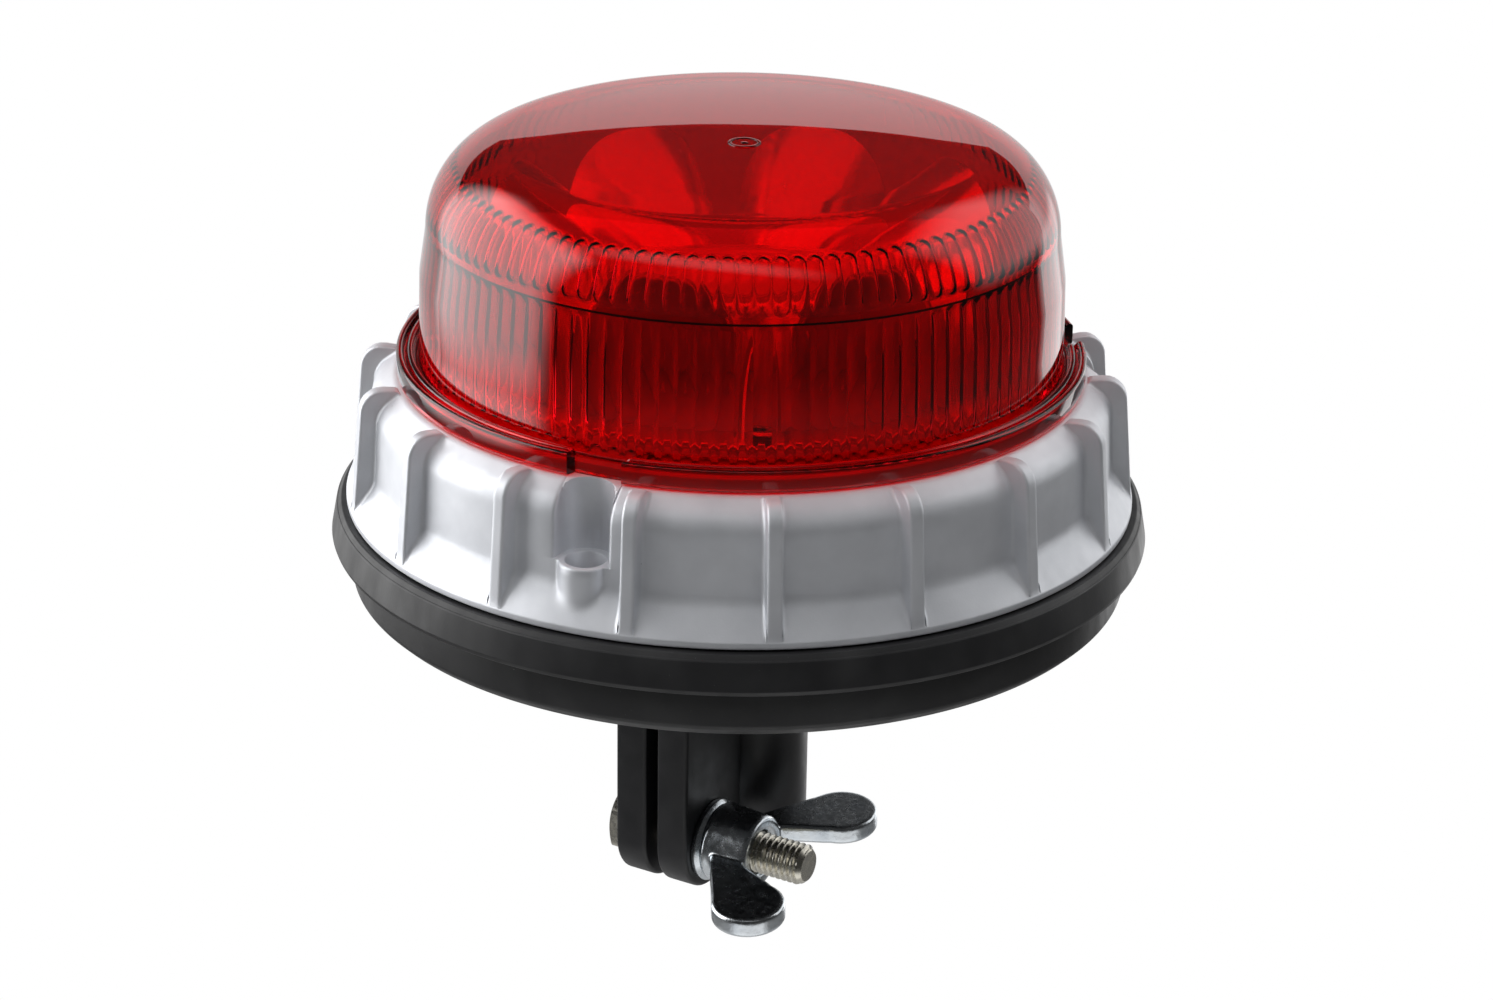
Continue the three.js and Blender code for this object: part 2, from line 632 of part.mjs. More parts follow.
function addDriver() {
  const under = BOARD_Z - FACE_GAP;
  add("driver_board", driverBoardGeometry(), greenBoard);
  add("input_capacitor", rod(5, under - 16, under, 26, -14, 20), canSleeve);
  add("output_capacitor", rod(4, under - 12, under, 26, 6, 20), canSleeve);
  add("inductor", rod(6.5, under - 6, under, -24, 14, 16), ferrite);
  add("control_chip", block(-14, -6, -26, -20, under - 1.6, under), chipBlack);
  add("power_transistor", block(2, 12, 22, 31, under - 4.5, under), chipBlack);
  add("board_connector", block(-31, -21, -12, -4, under - 7, under), whiteNylon);
  around(POST_COUNT, POST_START).forEach((angle, i) => {
    const [x, y] = polar(POST_AT_R, angle);
    const screw = screwGeometry(2.8, 1.9, 1.25, 8, BOARD_Z - FACE_GAP, 1);
    add("driver_screw_" + (i + 1), screw.translate(x, y, 0), zinc);
  });
  const supply = [[0, 0, 63.5], [-3, -2, 67.5], [-12, -5, 71], [-21, -7.5, 71.5], [-24, -8, 74.6]];
  const earth = [[7, 6, 63.5], [3, 6, 68], [-8, 0, 72], [-20, -6, 69], [-28, -8, 70], [-28, -8, 74.6]];
  add("supply_lead", wire(supply, 0.9), redWire);
  add("earth_lead", wire(earth, 0.9), brownWire);
  const ledLead = [[0, 0, BOARD_Z + 2.2], [0, 0, 86], [2, 1, 89.5], [0, 0, 94], [0, 0, DECK_TOP_Z + 4]];
  add("led_lead", wire(ledLead, 1.2), redWire);
}

addHousing();
addClamp();
addContacts();
addLightEngine();
addDriver();

export default beacon;
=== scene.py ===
"""Looks of the pole-mounted LED warning light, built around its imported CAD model.

Lengths are millimetres until a mesh is made, and (r, z) is a point of a turned section.
+Z is up the light's axis and +X lies along the clamp bolt.
"""

import json
from math import atan2, cos, hypot, pi, radians, sin, sqrt, tan

import bmesh
import bpy
from mathutils import Matrix, Quaternion, Vector


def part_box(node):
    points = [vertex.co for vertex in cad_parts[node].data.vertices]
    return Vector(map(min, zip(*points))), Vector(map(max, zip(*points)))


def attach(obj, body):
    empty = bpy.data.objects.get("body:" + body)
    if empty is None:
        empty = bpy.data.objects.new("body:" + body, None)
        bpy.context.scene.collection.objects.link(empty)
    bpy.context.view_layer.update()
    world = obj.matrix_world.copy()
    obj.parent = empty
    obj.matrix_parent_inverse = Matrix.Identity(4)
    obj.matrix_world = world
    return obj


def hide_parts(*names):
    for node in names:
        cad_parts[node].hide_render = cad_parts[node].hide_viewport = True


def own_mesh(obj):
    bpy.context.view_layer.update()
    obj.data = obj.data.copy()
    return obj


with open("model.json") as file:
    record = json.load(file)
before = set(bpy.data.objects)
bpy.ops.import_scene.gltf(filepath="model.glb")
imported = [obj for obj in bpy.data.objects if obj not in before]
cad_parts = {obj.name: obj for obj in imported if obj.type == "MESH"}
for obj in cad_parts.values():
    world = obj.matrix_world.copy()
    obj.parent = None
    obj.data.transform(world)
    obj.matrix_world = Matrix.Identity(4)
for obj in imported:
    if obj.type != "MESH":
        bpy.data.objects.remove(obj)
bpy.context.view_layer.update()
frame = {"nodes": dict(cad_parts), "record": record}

MM = 0.001
TURN = 2 * pi


# --- places taken from the frame

def box_mm(node):
    low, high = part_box(node)
    return low / MM, high / MM


ring_low, ring_high = box_mm("housing_ring")
lens_low, lens_high = box_mm("lens")
band_low, band_high = box_mm("base_band")
bowl_low, bowl_high = box_mm("base_bowl")
socket_low, socket_high = box_mm("clamp_socket")
washer_low, washer_high = box_mm("flat_washer")
bolt_low, bolt_high = box_mm("clamp_bolt")
nut_low, _ = box_mm("wing_nut")
reflector_low, _ = box_mm("reflector")
label_low, label_high = box_mm("label_disc")

RIM_Z = ring_low.z
FLOOR_Z = bowl_low.z
BOLT_Y = (washer_low.y + washer_high.y) / 2
BOLT_Z = (washer_low.z + washer_high.z) / 2
CUP_BASE = reflector_low.z


# --- mesh helpers

def rounded(points, steps=5):
    """A closed outline from (x, y, fillet) corners, each rounded by its fillet."""
    outline = []
    for i, (x, y, fillet) in enumerate(points):
        corner = Vector((x, y))
        if fillet == 0:
            outline.append((x, y))
            continue
        before = Vector(points[i - 1][:2]) - corner
        after = Vector(points[(i + 1) % len(points)][:2]) - corner
        half = before.angle(after) / 2
        reach = min(fillet / tan(half), before.length * 0.49, after.length * 0.49)
        radius = reach * tan(half)
        bisector = (before.normalized() + after.normalized()).normalized()
        centre = corner + bisector * (radius / sin(half))
        start = corner + before.normalized() * reach - centre
        end = corner + after.normalized() * reach - centre
        sweep = start.angle(end)
        for k in range(steps + 1):
            t = k / steps
            arm = start * sin((1 - t) * sweep) + end * sin(t * sweep)
            outline.append(tuple(centre + arm / sin(sweep)))
    return outline


def arc(centre, radii, start, end, steps):
    """Points of an elliptical arc; angles are in degrees."""
    points = []
    for k in range(steps + 1):
        angle = radians(start + (end - start) * k / steps)
        x, y = radii[0] * cos(angle), radii[1] * sin(angle)
        points.append((centre[0] + x, centre[1] + y))
    return points


def rectangle(half_x, half_y, fillet, steps):
    """A closed outline of a rectangle around the origin, with rounded corners."""
    corners = ((-half_x, -half_y), (half_x, -half_y), (half_x, half_y), (-half_x, half_y))
    return rounded([(x, y, fillet) for x, y in corners], steps)


def curve_points(start, bend, end, count):
    """Points of a quadratic curve that leaves start and reaches end towards bend."""
    start, bend, end = Vector(start), Vector(bend), Vector(end)
    steps = [k / count for k in range(count + 1)]
    return [tuple(start * (1 - t) ** 2 + bend * 2 * t * (1 - t) + end * t * t) for t in steps]


def new_object(name, data):
    obj = bpy.data.objects.new(name, data)
    bpy.context.scene.collection.objects.link(obj)
    return obj


def piece(name, vertices, faces, sharp=32):
    """A smooth-shaded object from millimetre vertices; edges above the sharp angle stay crisp."""
    mesh = bpy.data.meshes.new(name)
    mesh.from_pydata([Vector(v) * MM for v in vertices], [], faces)
    obj = new_object(name, mesh)
    tidy(obj, sharp)
    return obj


def tidy(obj, sharp=32):
    """Merges doubles, drops empty faces, points the faces outwards and sets the shading."""
    work = bmesh.new()
    work.from_mesh(obj.data)
    bmesh.ops.remove_doubles(work, verts=work.verts, dist=1e-7)
    bmesh.ops.dissolve_degenerate(work, edges=work.edges, dist=1e-8)
    bmesh.ops.recalc_face_normals(work, faces=work.faces)
    work.to_mesh(obj.data)
    work.free()
    obj.data.shade_smooth()
    obj.data.set_sharp_from_angle(angle=radians(sharp))


def grid_faces(rows, columns, wrap_rows, wrap_columns):
    """Faces between the rows of a grid of vertices, which may close on itself both ways."""
    faces = []
    for i in range(rows if wrap_rows else rows - 1):
        for j in range(columns if wrap_columns else columns - 1):
            a, b = i * columns, ((i + 1) % rows) * columns
            k = (j + 1) % columns
            faces.append((a + j, a + k, b + k, b + j))
    return faces


def turned(name, outline, columns=192, shape=None, centre=(0, 0), sharp=32):
    """Turns a closed (r, z) outline about Z. shape(r, z, angle, row) may move a point."""
    vertices = []
    for row, (r, z) in enumerate(outline):
        for j in range(columns):
            angle = TURN * j / columns
            radius, height = shape(r, z, angle, row) if shape else (r, z)
            x, y = radius * cos(angle), radius * sin(angle)
            vertices.append((centre[0] + x, centre[1] + y, height))
    return piece(name, vertices, grid_faces(len(outline), columns, True, True), sharp)


def prism(name, outline, low, high):
    """Extrudes a closed (x, y) outline from z low to z high."""
    count = len(outline)
    vertices = [(x, y, low) for x, y in outline] + [(x, y, high) for x, y in outline]
    faces = [(i, (i + 1) % count, count + (i + 1) % count, count + i) for i in range(count)]
    faces += [tuple(range(count - 1, -1, -1)), tuple(range(count, 2 * count))]
    return piece(name, vertices, faces)


def apply_modifiers(obj):
    """Makes the result of the object's modifiers its own mesh."""
    depsgraph = bpy.context.evaluated_depsgraph_get()
    mesh = bpy.data.meshes.new_from_object(obj.evaluated_get(depsgraph))
    obj.modifiers.clear()
    obj.data = mesh


def combine(obj, tool, operation="DIFFERENCE"):
    """Cuts or joins obj with a tool object, which is then removed."""
    modifier = obj.modifiers.new("combine", "BOOLEAN")
    modifier.operation = operation
    modifier.object = tool
    modifier.solver = "EXACT"
    apply_modifiers(obj)
    bpy.data.objects.remove(tool)


def join_objects(objects):
    """Puts several meshes into the first one."""
    work = bmesh.new()
    for obj in objects:
        work.from_mesh(obj.data)
    work.to_mesh(objects[0].data)
    work.free()
    for obj in objects[1:]:
        bpy.data.objects.remove(obj)
    return objects[0]


def move(obj, matrix):
    """Places a mesh made at the origin; the matrix is in millimetres."""
    scaled = matrix.copy()
    scaled.translation = scaled.translation * MM
    obj.data.transform(scaled)


def put(obj, body, slot, *nodes, material=None):
    """Gives a piece its body and hides the CAD nodes that it stands for.

    Its material is the slot's own, unless another is named.
    """
    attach(obj, body)
    if nodes:
        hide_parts(*nodes)
    paint(obj, MATERIALS[material or slot])


def paint(obj, material):
    obj.data.materials.clear()
    obj.data.materials.append(material)


def wave(t):
    """Rises from 0 to 1 and falls back as t goes from 0 to 1."""
    return 0.5 - 0.5 * cos(TURN * t)


def clamp(value, low, high):
    return max(low, min(high, value))


# --- materials

def add_node(tree, kind, inputs=None, **settings):
    """A new shader node; an input is another node's socket, which is linked, or a value."""
    made = tree.nodes.new("ShaderNode" + kind)
    for key, value in settings.items():
        setattr(made, key, value)
    for key, value in (inputs or {}).items():
        if isinstance(value, bpy.types.NodeSocket):
            tree.links.new(value, made.inputs[key])
        else:
            made.inputs[key].default_value = value
    return made


def add_math(tree, operation, a, b):
    return add_node(tree, "Math", {0: a, 1: b}, operation=operation).outputs[0]


class Shader:
    """A procedural material: textures drive a Principled surface's colour, roughness and bump."""

    def __init__(self, name, color, roughness, metallic=0.0):
        self.material = bpy.data.materials.new(name)
        self.material.use_nodes = True
        self.tree = self.material.node_tree
        self.surface = self.tree.nodes["Principled BSDF"]
        self.place = self.node("TexCoord").outputs["Object"]
        self.normal = None
        values = {"Base Color": (*color, 1), "Roughness": roughness, "Metallic": metallic}
        for key, value in values.items():
            self.surface.inputs[key].default_value = value

    def node(self, kind, inputs=None, **settings):
        return add_node(self.tree, kind, inputs, **settings)

    def noise(self, size, detail=3.0, stretch=(1, 1, 1)):
        """Noise whose features are about size millimetres across."""
        mapping = self.node("Mapping", {"Vector": self.place, "Scale": stretch})
        inputs = {"Vector": mapping.outputs[0], "Scale": 1 / (size * MM), "Detail": detail}
        return self.node("TexNoise", inputs).outputs["Fac"]

    def remap(self, value, low, high, start=0.0, end=1.0):
        inputs = {"Value": value, "From Min": low, "From Max": high}
        inputs |= {"To Min": start, "To Max": end}
        return self.node("MapRange", inputs).outputs["Result"]

    def tint(self, mask, color):
        """Blends the colour towards another where the mask is 1."""
        base = self.surface.inputs["Base Color"]
        current = base.links[0].from_socket if base.links else base.default_value
        inputs = {0: mask, 6: current, 7: (*color, 1)}
        mix = self.node("Mix", inputs, data_type="RGBA")
        self.tree.links.new(mix.outputs[2], base)
        return self

    def mottle(self, size, low, high, color):
        """Patches of another colour, where noise of that size rises from low to high."""
        return self.tint(self.remap(self.noise(size), low, high), color)

    def gloss(self, size, rough_low, rough_high, stretch=(1, 1, 1)):
        """Varies the roughness between two values in patches of that size."""
        value = self.remap(self.noise(size, stretch=stretch), 0.3, 0.7, rough_low, rough_high)
        self.tree.links.new(value, self.surface.inputs["Roughness"])
        return self

    def bump(self, size, depth, detail=2.0, stretch=(1, 1, 1)):
        """Adds relief with features of that size and depth in millimetres."""
        relief = self.noise(size, detail, stretch)
        inputs = {"Height": relief, "Distance": depth * MM, "Strength": 1.0}
        if self.normal:
            inputs["Normal"] = self.normal
        self.normal = self.node("Bump", inputs).outputs["Normal"]
        self.tree.links.new(self.normal, self.surface.inputs["Normal"])
        return self

    def specks(self, spacing, radius, share, color):
        """Small round dust specks: one cell in every 1 / share holds one."""
        inputs = {"Vector": self.place, "Scale": 1 / (spacing * MM)}
        cells = self.node("TexVoronoi", inputs)
        near = add_math(self.tree, "LESS_THAN", cells.outputs["Distance"], radius / spacing)
        parts = self.node("SeparateColor", {"Color": cells.outputs["Color"]})
        chosen = add_math(self.tree, "LESS_THAN", parts.outputs[0], share)
        return self.tint(add_math(self.tree, "MULTIPLY", near, chosen), color)


def cast_metal():
    shader = Shader("cast_metal", (0.70, 0.715, 0.75), 0.48, 0.68)
    shader.mottle(9, 0.35, 0.7, (0.63, 0.645, 0.68)).gloss(2.2, 0.44, 0.54)
    shader.specks(3.2, 0.12, 0.12, (0.2, 0.2, 0.2))
    return shader.bump(0.35, 0.012).bump(6, 0.03).material


def band_rubber():
    shader = Shader("band_rubber", (0.014, 0.014, 0.015), 0.42)
    shader.surface.inputs["Specular IOR Level"].default_value = 0.45
    shader.mottle(14, 0.45, 0.75, (0.026, 0.026, 0.027))
    shader.gloss(5, 0.36, 0.52, stretch=(1, 1, 0.4))
    shader.specks(2.6, 0.09, 0.10, (0.16, 0.155, 0.15))
    shader.specks(0.9, 0.05, 0.06, (0.12, 0.12, 0.12))
    return shader.bump(0.5, 0.01).bump(8, 0.05).material


def black_plastic():
    shader = Shader("black_plastic", (0.011, 0.011, 0.013), 0.38)
    shader.mottle(11, 0.45, 0.8, (0.02, 0.02, 0.022)).gloss(4, 0.33, 0.46)
    shader.specks(3.4, 0.08, 0.07, (0.13, 0.13, 0.13))
    return shader.bump(0.28, 0.008).bump(10, 0.03).material


def seal_rubber():
    shader = Shader("seal_rubber", (0.02, 0.02, 0.02), 0.6)
    return shader.gloss(1.5, 0.5, 0.7).bump(0.4, 0.01).material


def zinc_plate():
    shader = Shader("zinc", (0.74, 0.78, 0.81), 0.2, 1.0)
    shader.mottle(3.5, 0.4, 0.7, (0.62, 0.67, 0.72)).gloss(1.2, 0.14, 0.30)
    return shader.bump(0.9, 0.035, 3.0).bump(0.25, 0.01).material


def bolt_steel():
    shader = Shader("bolt_steel", (0.72, 0.69, 0.60), 0.26, 1.0)
    shader.mottle(1.6, 0.4, 0.7, (0.60, 0.58, 0.53)).gloss(0.9, 0.2, 0.34)
    return shader.bump(0.4, 0.003).material


def mirror_metal():
    shader = Shader("mirror", (0.92, 0.92, 0.93), 0.22, 0.8)
    return shader.gloss(6, 0.18, 0.28).bump(7, 0.02).material


def board_white():
    shader = Shader("white_board", (0.78, 0.78, 0.76), 0.35)
    return shader.mottle(4, 0.4, 0.7, (0.7, 0.7, 0.68)).bump(0.6, 0.01).material


def board_green():
    shader = Shader("green_board", (0.012, 0.10, 0.035), 0.3)
    return shader.mottle(2, 0.45, 0.55, (0.02, 0.15, 0.05)).bump(0.8, 0.02).material


def moulded(name, color, roughness):
    """A plain moulded or coated surface with slightly lighter patches."""
    light = tuple(min(1.0, 1.15 * c + 0.004) for c in color)
    shader = Shader(name, color, roughness).mottle(2.5, 0.4, 0.7, light)
    return shader.gloss(1.5, roughness * 0.85, roughness * 1.2).bump(0.4, 0.008).material


def soft_brass():
    shader = Shader("brass", (0.72, 0.53, 0.23), 0.25, 1.0)
    shader.mottle(2, 0.4, 0.7, (0.6, 0.42, 0.18)).gloss(0.8, 0.2, 0.35)
    return shader.bump(0.3, 0.005).material


def red_lens():
    """Red polycarbonate: it refracts what is behind it, and lets light straight in."""
    shader = Shader("lens", (0.64, 0.0006, 0.004), 0.015)
    shader.surface.inputs["Transmission Weight"].default_value = 1.0
    shader.surface.inputs["IOR"].default_value = 1.58
    clear = shader.node("BsdfTransparent", {"Color": (0.95, 0.02, 0.03, 1)})
    is_shadow = shader.node("LightPath").outputs["Is Shadow Ray"]
    inputs = {0: is_shadow, 1: shader.surface.outputs[0], 2: clear.outputs[0]}
    mix = shader.node("MixShader", inputs)
    output = shader.tree.nodes["Material Output"]
    shader.tree.links.new(mix.outputs[0], output.inputs["Surface"])
    return shader.bump(30, 0.05, 1.0).material


MATERIALS = {
    "lens": red_lens(),
    "seal_rubber": seal_rubber(),
    "cast_metal": cast_metal(),
    "band_rubber": band_rubber(),
    "black_plastic": black_plastic(),
    "zinc": zinc_plate(),
    "bolt_steel": bolt_steel(),
    "mirror": mirror_metal(),
    "white_board": board_white(),
    "green_board": board_green(),
    "brass": soft_brass(),
}
for name, color, roughness in (
    ("led_body", (0.85, 0.72, 0.36), 0.3), ("pad", (0.30, 0.31, 0.33), 0.7),
    ("label", (0.62, 0.62, 0.60), 0.45), ("chip", (0.02, 0.02, 0.022), 0.4),
    ("can_sleeve", (0.02, 0.035, 0.05), 0.25), ("ferrite", (0.04, 0.04, 0.042), 0.55),
    ("red_wire", (0.36, 0.015, 0.012), 0.35), ("brown_wire", (0.10, 0.045, 0.015), 0.35),
    ("nylon", (0.75, 0.73, 0.66), 0.4),
):
    MATERIALS[name] = moulded(name, color, roughness)


def dress_cad_nodes():
    """Gives each CAD node its slot's material; those that a piece stands for are hidden later."""
    for part in frame["record"]["subparts"]:
        paint(frame["nodes"][part["node"]], MATERIALS[part["material_slot"]])


# --- lens

LENS_R = 59.85
LENS_WALL = 2.4
SHOULDER = (42.6, 125.05)  # centre of the shoulder's arc
SHOULDER_RADII = (15.73, 16.1)
CROWN_ANGLE = 82.9  # where the shoulder's arc runs into the crown
FLUTES = 112
FLUTE_COLUMNS = 8
FLUTE_DEPTH = 0.42
WALL_FLUTES = (101.5, 125.4)  # from and to this height
SHOULDER_FLUTES = (8.0, 49.0)  # from and to this angle of the shoulder's arc
CROWN_TOP = lens_high.z - 0.2
NOTCH_HALF = 4.25  # degrees
NOTCH_R = 61.9
NOTCH_FLOOR = 100.5
FLANGE_FOOT = 97.7
FLANGE_TOP = 101.9


def crown_z(r, top):
    """Height of the crown at radius r; it is top at the middle."""
    edge_r = SHOULDER[0] + SHOULDER_RADII[0] * cos(radians(CROWN_ANGLE))
    sag = SHOULDER_RADII[1] * sin(radians(CROWN_ANGLE)) + SHOULDER[1]
    return top - (lens_high.z - sag) * (r / edge_r) ** 2


def flange_outline():
    low, foot, top = lens_low.z, FLANGE_FOOT, FLANGE_TOP
    return rounded([
        (LENS_R - LENS_WALL, low, 0.3), (LENS_R + 0.3, low, 0.3), (LENS_R + 0.3, foot, 0),
        (lens_high.x, foot, 0.5), (lens_high.x, top, 0.62), (lens_high.x - 1.3, top, 0.5),
        (lens_high.x - 1.35, top - 1.3, 0.3), (62.25, top - 1.3, 0.3), (62.15, top, 0.5),
        (61.0, top, 0.5), (60.9, top - 1.5, 0.25), (LENS_R, top - 1.5, 0.45),
        (LENS_R, top + 3, 0),
    ], steps=4)[:-1]


def lens_geometry():
    """The lens's section as (r, z, zone, angle on the shoulder's arc) points."""
    outline = [(r, z, "flange", 0) for r, z in flange_outline()]
    outer = [(LENS_R - 0.02, 108), (LENS_R - 0.3, 117)]
    outer += arc(SHOULDER, SHOULDER_RADII, 0, CROWN_ANGLE, 22)
    outline += [(r, z, "outer", 0) for r, z in outer]
    outside_r, inside_r = (40, 35, 29, 22, 15, 9, 4, 0), (0, 1, 6, 14, 22, 30, 37)
    outline += [(r, crown_z(r, CROWN_TOP), "outer", 0) for r in outside_r]
    outline += [(r, crown_z(r, CROWN_TOP - LENS_WALL), "inner", 0) for r in inside_r]
    inner_radii = tuple(radius - LENS_WALL for radius in SHOULDER_RADII)
    steps = [(CROWN_ANGLE - 4 * step, "inner") for step in range(8)]
    steps += [(52.5 - 1.35 * step, "shoulder") for step in range(38)]
    for angle, zone in steps:
        outline += [(*arc(SHOULDER, inner_radii, angle, angle, 1)[0], zone, angle)]
    inner_wall, draft = LENS_R - LENS_WALL - 0.9, 0.035
    low, high = WALL_FLUTES
    for z in (high, 125, 124.2, 119, 112, 106, low + 0.3, low):
        outline += [(inner_wall + (125 - z) * draft, z, "wall", 0)]
    outline += [(LENS_R - LENS_WALL - 0.05, 99, "inner", 0)]
    return outline


def lens_shape(outline):
    """A function that moves a turned point for the flutes and for the flange's three notches."""
    notches = [radians(37 + 120 * k) for k in range(3)]

    def off_notch(angle):
        return min(abs((angle - n + pi) % TURN - pi) for n in notches)

    def shape(r, z, angle, row):
        zone, place = outline[row][2:]
        across = (angle * FLUTES / TURN) % 1.0 * 2 - 1
        if zone == "wall":
            if not WALL_FLUTES[0] < z < WALL_FLUTES[1]:
                return (r, z)
            fade = clamp((WALL_FLUTES[1] - z) / 1.2, 0, 1)
            return (r - FLUTE_DEPTH * fade * (1 - across * across), z)
        if zone == "shoulder":
            pitch = TURN * r / FLUTES
            mean = (SHOULDER_RADII[0] + SHOULDER_RADII[1]) / 2 - LENS_WALL
            low = radians(place - SHOULDER_FLUTES[0]) * mean
            high = radians(SHOULDER_FLUTES[1] - place) * mean
            half = pitch * 0.47
            along = max(0.0, half - low, half - high)
            from_axis = hypot(across * pitch / 2, along) / half
            depth = FLUTE_DEPTH * sqrt(max(0.0, 1 - from_axis ** 2))
            out = radians(place)
            return (r + depth * cos(out), z + depth * sin(out))
        if zone == "flange" and r > LENS_R + 0.5:
            off = off_notch(angle)
            edge = radians(NOTCH_HALF)
            if off < edge:
                cut = min(r, NOTCH_R / cos(off)) if r > NOTCH_R - 1.4 else r
                return (cut, min(z, NOTCH_FLOOR + 0.1))
            past_end = clamp((off - edge - radians(0.3)) / radians(1.1), 0, 1)
            if r < 62.4 and z > NOTCH_FLOOR:
                rise = sqrt(1 - (1 - past_end) ** 2)
                return (r, NOTCH_FLOOR + (z - NOTCH_FLOOR) * rise)
        return (r, z)

    return shape


def make_lens():
    outline = lens_geometry()
    plain = [(r, z) for r, z, _, _ in outline]
    lens = turned("lens_moulding", plain, FLUTES * FLUTE_COLUMNS, lens_shape(outline), sharp=40)
    put(lens, "light", "lens", "lens")


def make_gate_ring():
    """The small moulded ring on the crown, with a pip at its middle."""
    centre = (5.0, -8.7)
    z = crown_z(hypot(*centre), CROWN_TOP)
    low, high = z - 0.3, z + 0.12
    corners = [(2.25, low, 0), (3.0, low, 0), (2.95, high, 0.12), (2.35, high, 0.12)]
    ring = turned("gate_ring", rounded(corners, 4), 64, centre=centre)
    dome = [(0, low), (0.7, low), (0.6, z + 0.02), (0.3, z + 0.1), (0, high)]
    ring = join_objects([ring, turned("pip", dome, 32, centre=centre)])
    tidy(ring)
    put(ring, "light", "lens")


# --- housing ring

WALL_R = 69.4
RIB_ANGLES = [5 + 20 * k for k in range(18)]
BOSS_ANGLES = [37 + 120 * k for k in range(3)]
BOSS_AT_R = 67.3
BOSS_R = 4.75
BOSS_TOP = 84.2
BOSS_HOLE_R = 3.45
POCKET_R = 5.1
POCKET_EDGE = 0.75  # rounding where the pocket above a boss meets the wall
BOSS_BLEND = 0.35
SHELF_ROWS = ((0.45, 0.0), (0.2, 0.1), (0.06, 0.25), (0, 0.5), (0, None))  # drop and shrink


def ring_outer_profile():
    """The ring's outside from the foot up over the shoulder to the lens, as (r, z) points."""
    foot = RIM_Z
    corners = [
        (ring_high.x - 1, foot, 0), (ring_high.x, foot, 0.25),
        (ring_high.x, foot + 1.2, 0.7), (WALL_R + 0.35, 80.0, 4.5),
        (WALL_R - 0.5, 94.2, 5.5), (64.4, 97.5, 3.0), (61.8, 97.5, 0),
    ]
    below = foot - 5
    closed = rounded(corners + [(61.8, below, 0), (ring_high.x - 1, below, 0)], 8)
    line, dense = closed[:-2], []
    for (ar, az), (br, bz) in zip(line, line[1:]):
        count = max(1, round(hypot(br - ar, bz - az) / 1.1))
        steps = [k / count for k in range(count)]
        dense += [(ar + (br - ar) * t, az + (bz - az) * t) for t in steps]
    return dense + [(61.8, 97.5)]


def rib_outline():
    """The outer edge of a rib, as an open (r, z) line."""
    points = [(ring_high.x - 0.2, RIM_Z + 1.0), (72.1, 93.9)]
    points += arc((67.8, 93.9), (4.3, 4.3), 4, 90, 10)
    return points + [(65.2, 97.9), (64.6, 97.3)]


def ray_to_line(origin, direction, line):
    """Distance from origin along direction to an open line in the (r, z) plane, or 0."""
    best = 0.0
    for (ax, ay), (bx, by) in zip(line, line[1:]):
        ex, ey = bx - ax, by - ay
        cross = direction[0] * ey - direction[1] * ex
        if abs(cross) < 1e-9:
            continue
        t = ((ax - origin[0]) * ey - (ay - origin[1]) * ex) / cross
        s = ((ax - origin[0]) * direction[1] - (ay - origin[1]) * direction[0]) / cross
        if -1e-6 <= s <= 1 + 1e-6 and t > best:
            best = t
    return best


def normals_of(line):
    """Unit normals at the points of an open line, to its right."""
    result = []
    for i in range(len(line)):
        a, b = line[max(i - 1, 0)], line[min(i + 1, len(line) - 1)]
        dr, dz = b[0] - a[0], b[1] - a[1]
        length = hypot(dr, dz)
        result.append((dz / length, -dr / length))
    return result


RIB_HALF = 1.4
RIB_EDGE = 0.6  # rounding of the rib's outer edges
RIB_ROOT = 0.9  # fillet at the rib's root
RIB_STEPS = (0.0, 0.5, 0.8, 1.0, 1.15, 1.27, 1.35, 1.4, 1.47, 1.55, 1.68, 1.85, 2.05, 2.3)


def rib_rise(x, height):
    """Height of a rib above the wall, at x millimetres from its middle plane."""
    if x <= RIB_HALF:
        inset = max(0.0, x - (RIB_HALF - RIB_EDGE))
        return max(0.0, height - RIB_EDGE + sqrt(max(0.0, RIB_EDGE ** 2 - inset ** 2)))
    left = RIB_HALF + RIB_ROOT - x
    root = RIB_ROOT - sqrt(max(0.0, RIB_ROOT ** 2 - max(0.0, left) ** 2))
    return min(height, root)


def smooth_max(a, b, k):
    """The larger of two values, blended over about k where they are close."""
    return 0.5 * (a + b + sqrt((a - b) ** 2 + k * k))


BOSS_STEPS = (0, 0.8, 1.6, 2.3, 2.9, 3.4, 3.8, 4.1, 4.35, 4.55, 4.68, 4.75,
              4.9, 5.0, 5.08, 5.12, 5.3, 5.5, 5.9)


def ring_columns():
    """Columns of the ring's mesh in order: (reference angle in degrees, offset in mm, kind)."""
    columns = []
    for rib in RIB_ANGLES:
        columns += [(rib, -x, "rib") for x in reversed(RIB_STEPS[1:])]
        columns += [(rib, x, "rib") for x in RIB_STEPS]
        bosses = [b for b in BOSS_ANGLES if rib < b < rib + 20]
        if bosses:
            columns += [(rib + 3.5, 0, "wall"), (rib + 5.2, 0, "wall")]
            columns += [(bosses[0], -x, "boss") for x in reversed(BOSS_STEPS[1:])]
            columns += [(bosses[0], x, "boss") for x in BOSS_STEPS]
        else:
            columns += [(rib + step, 0, "wall") for step in range(3, 18)]
    return columns


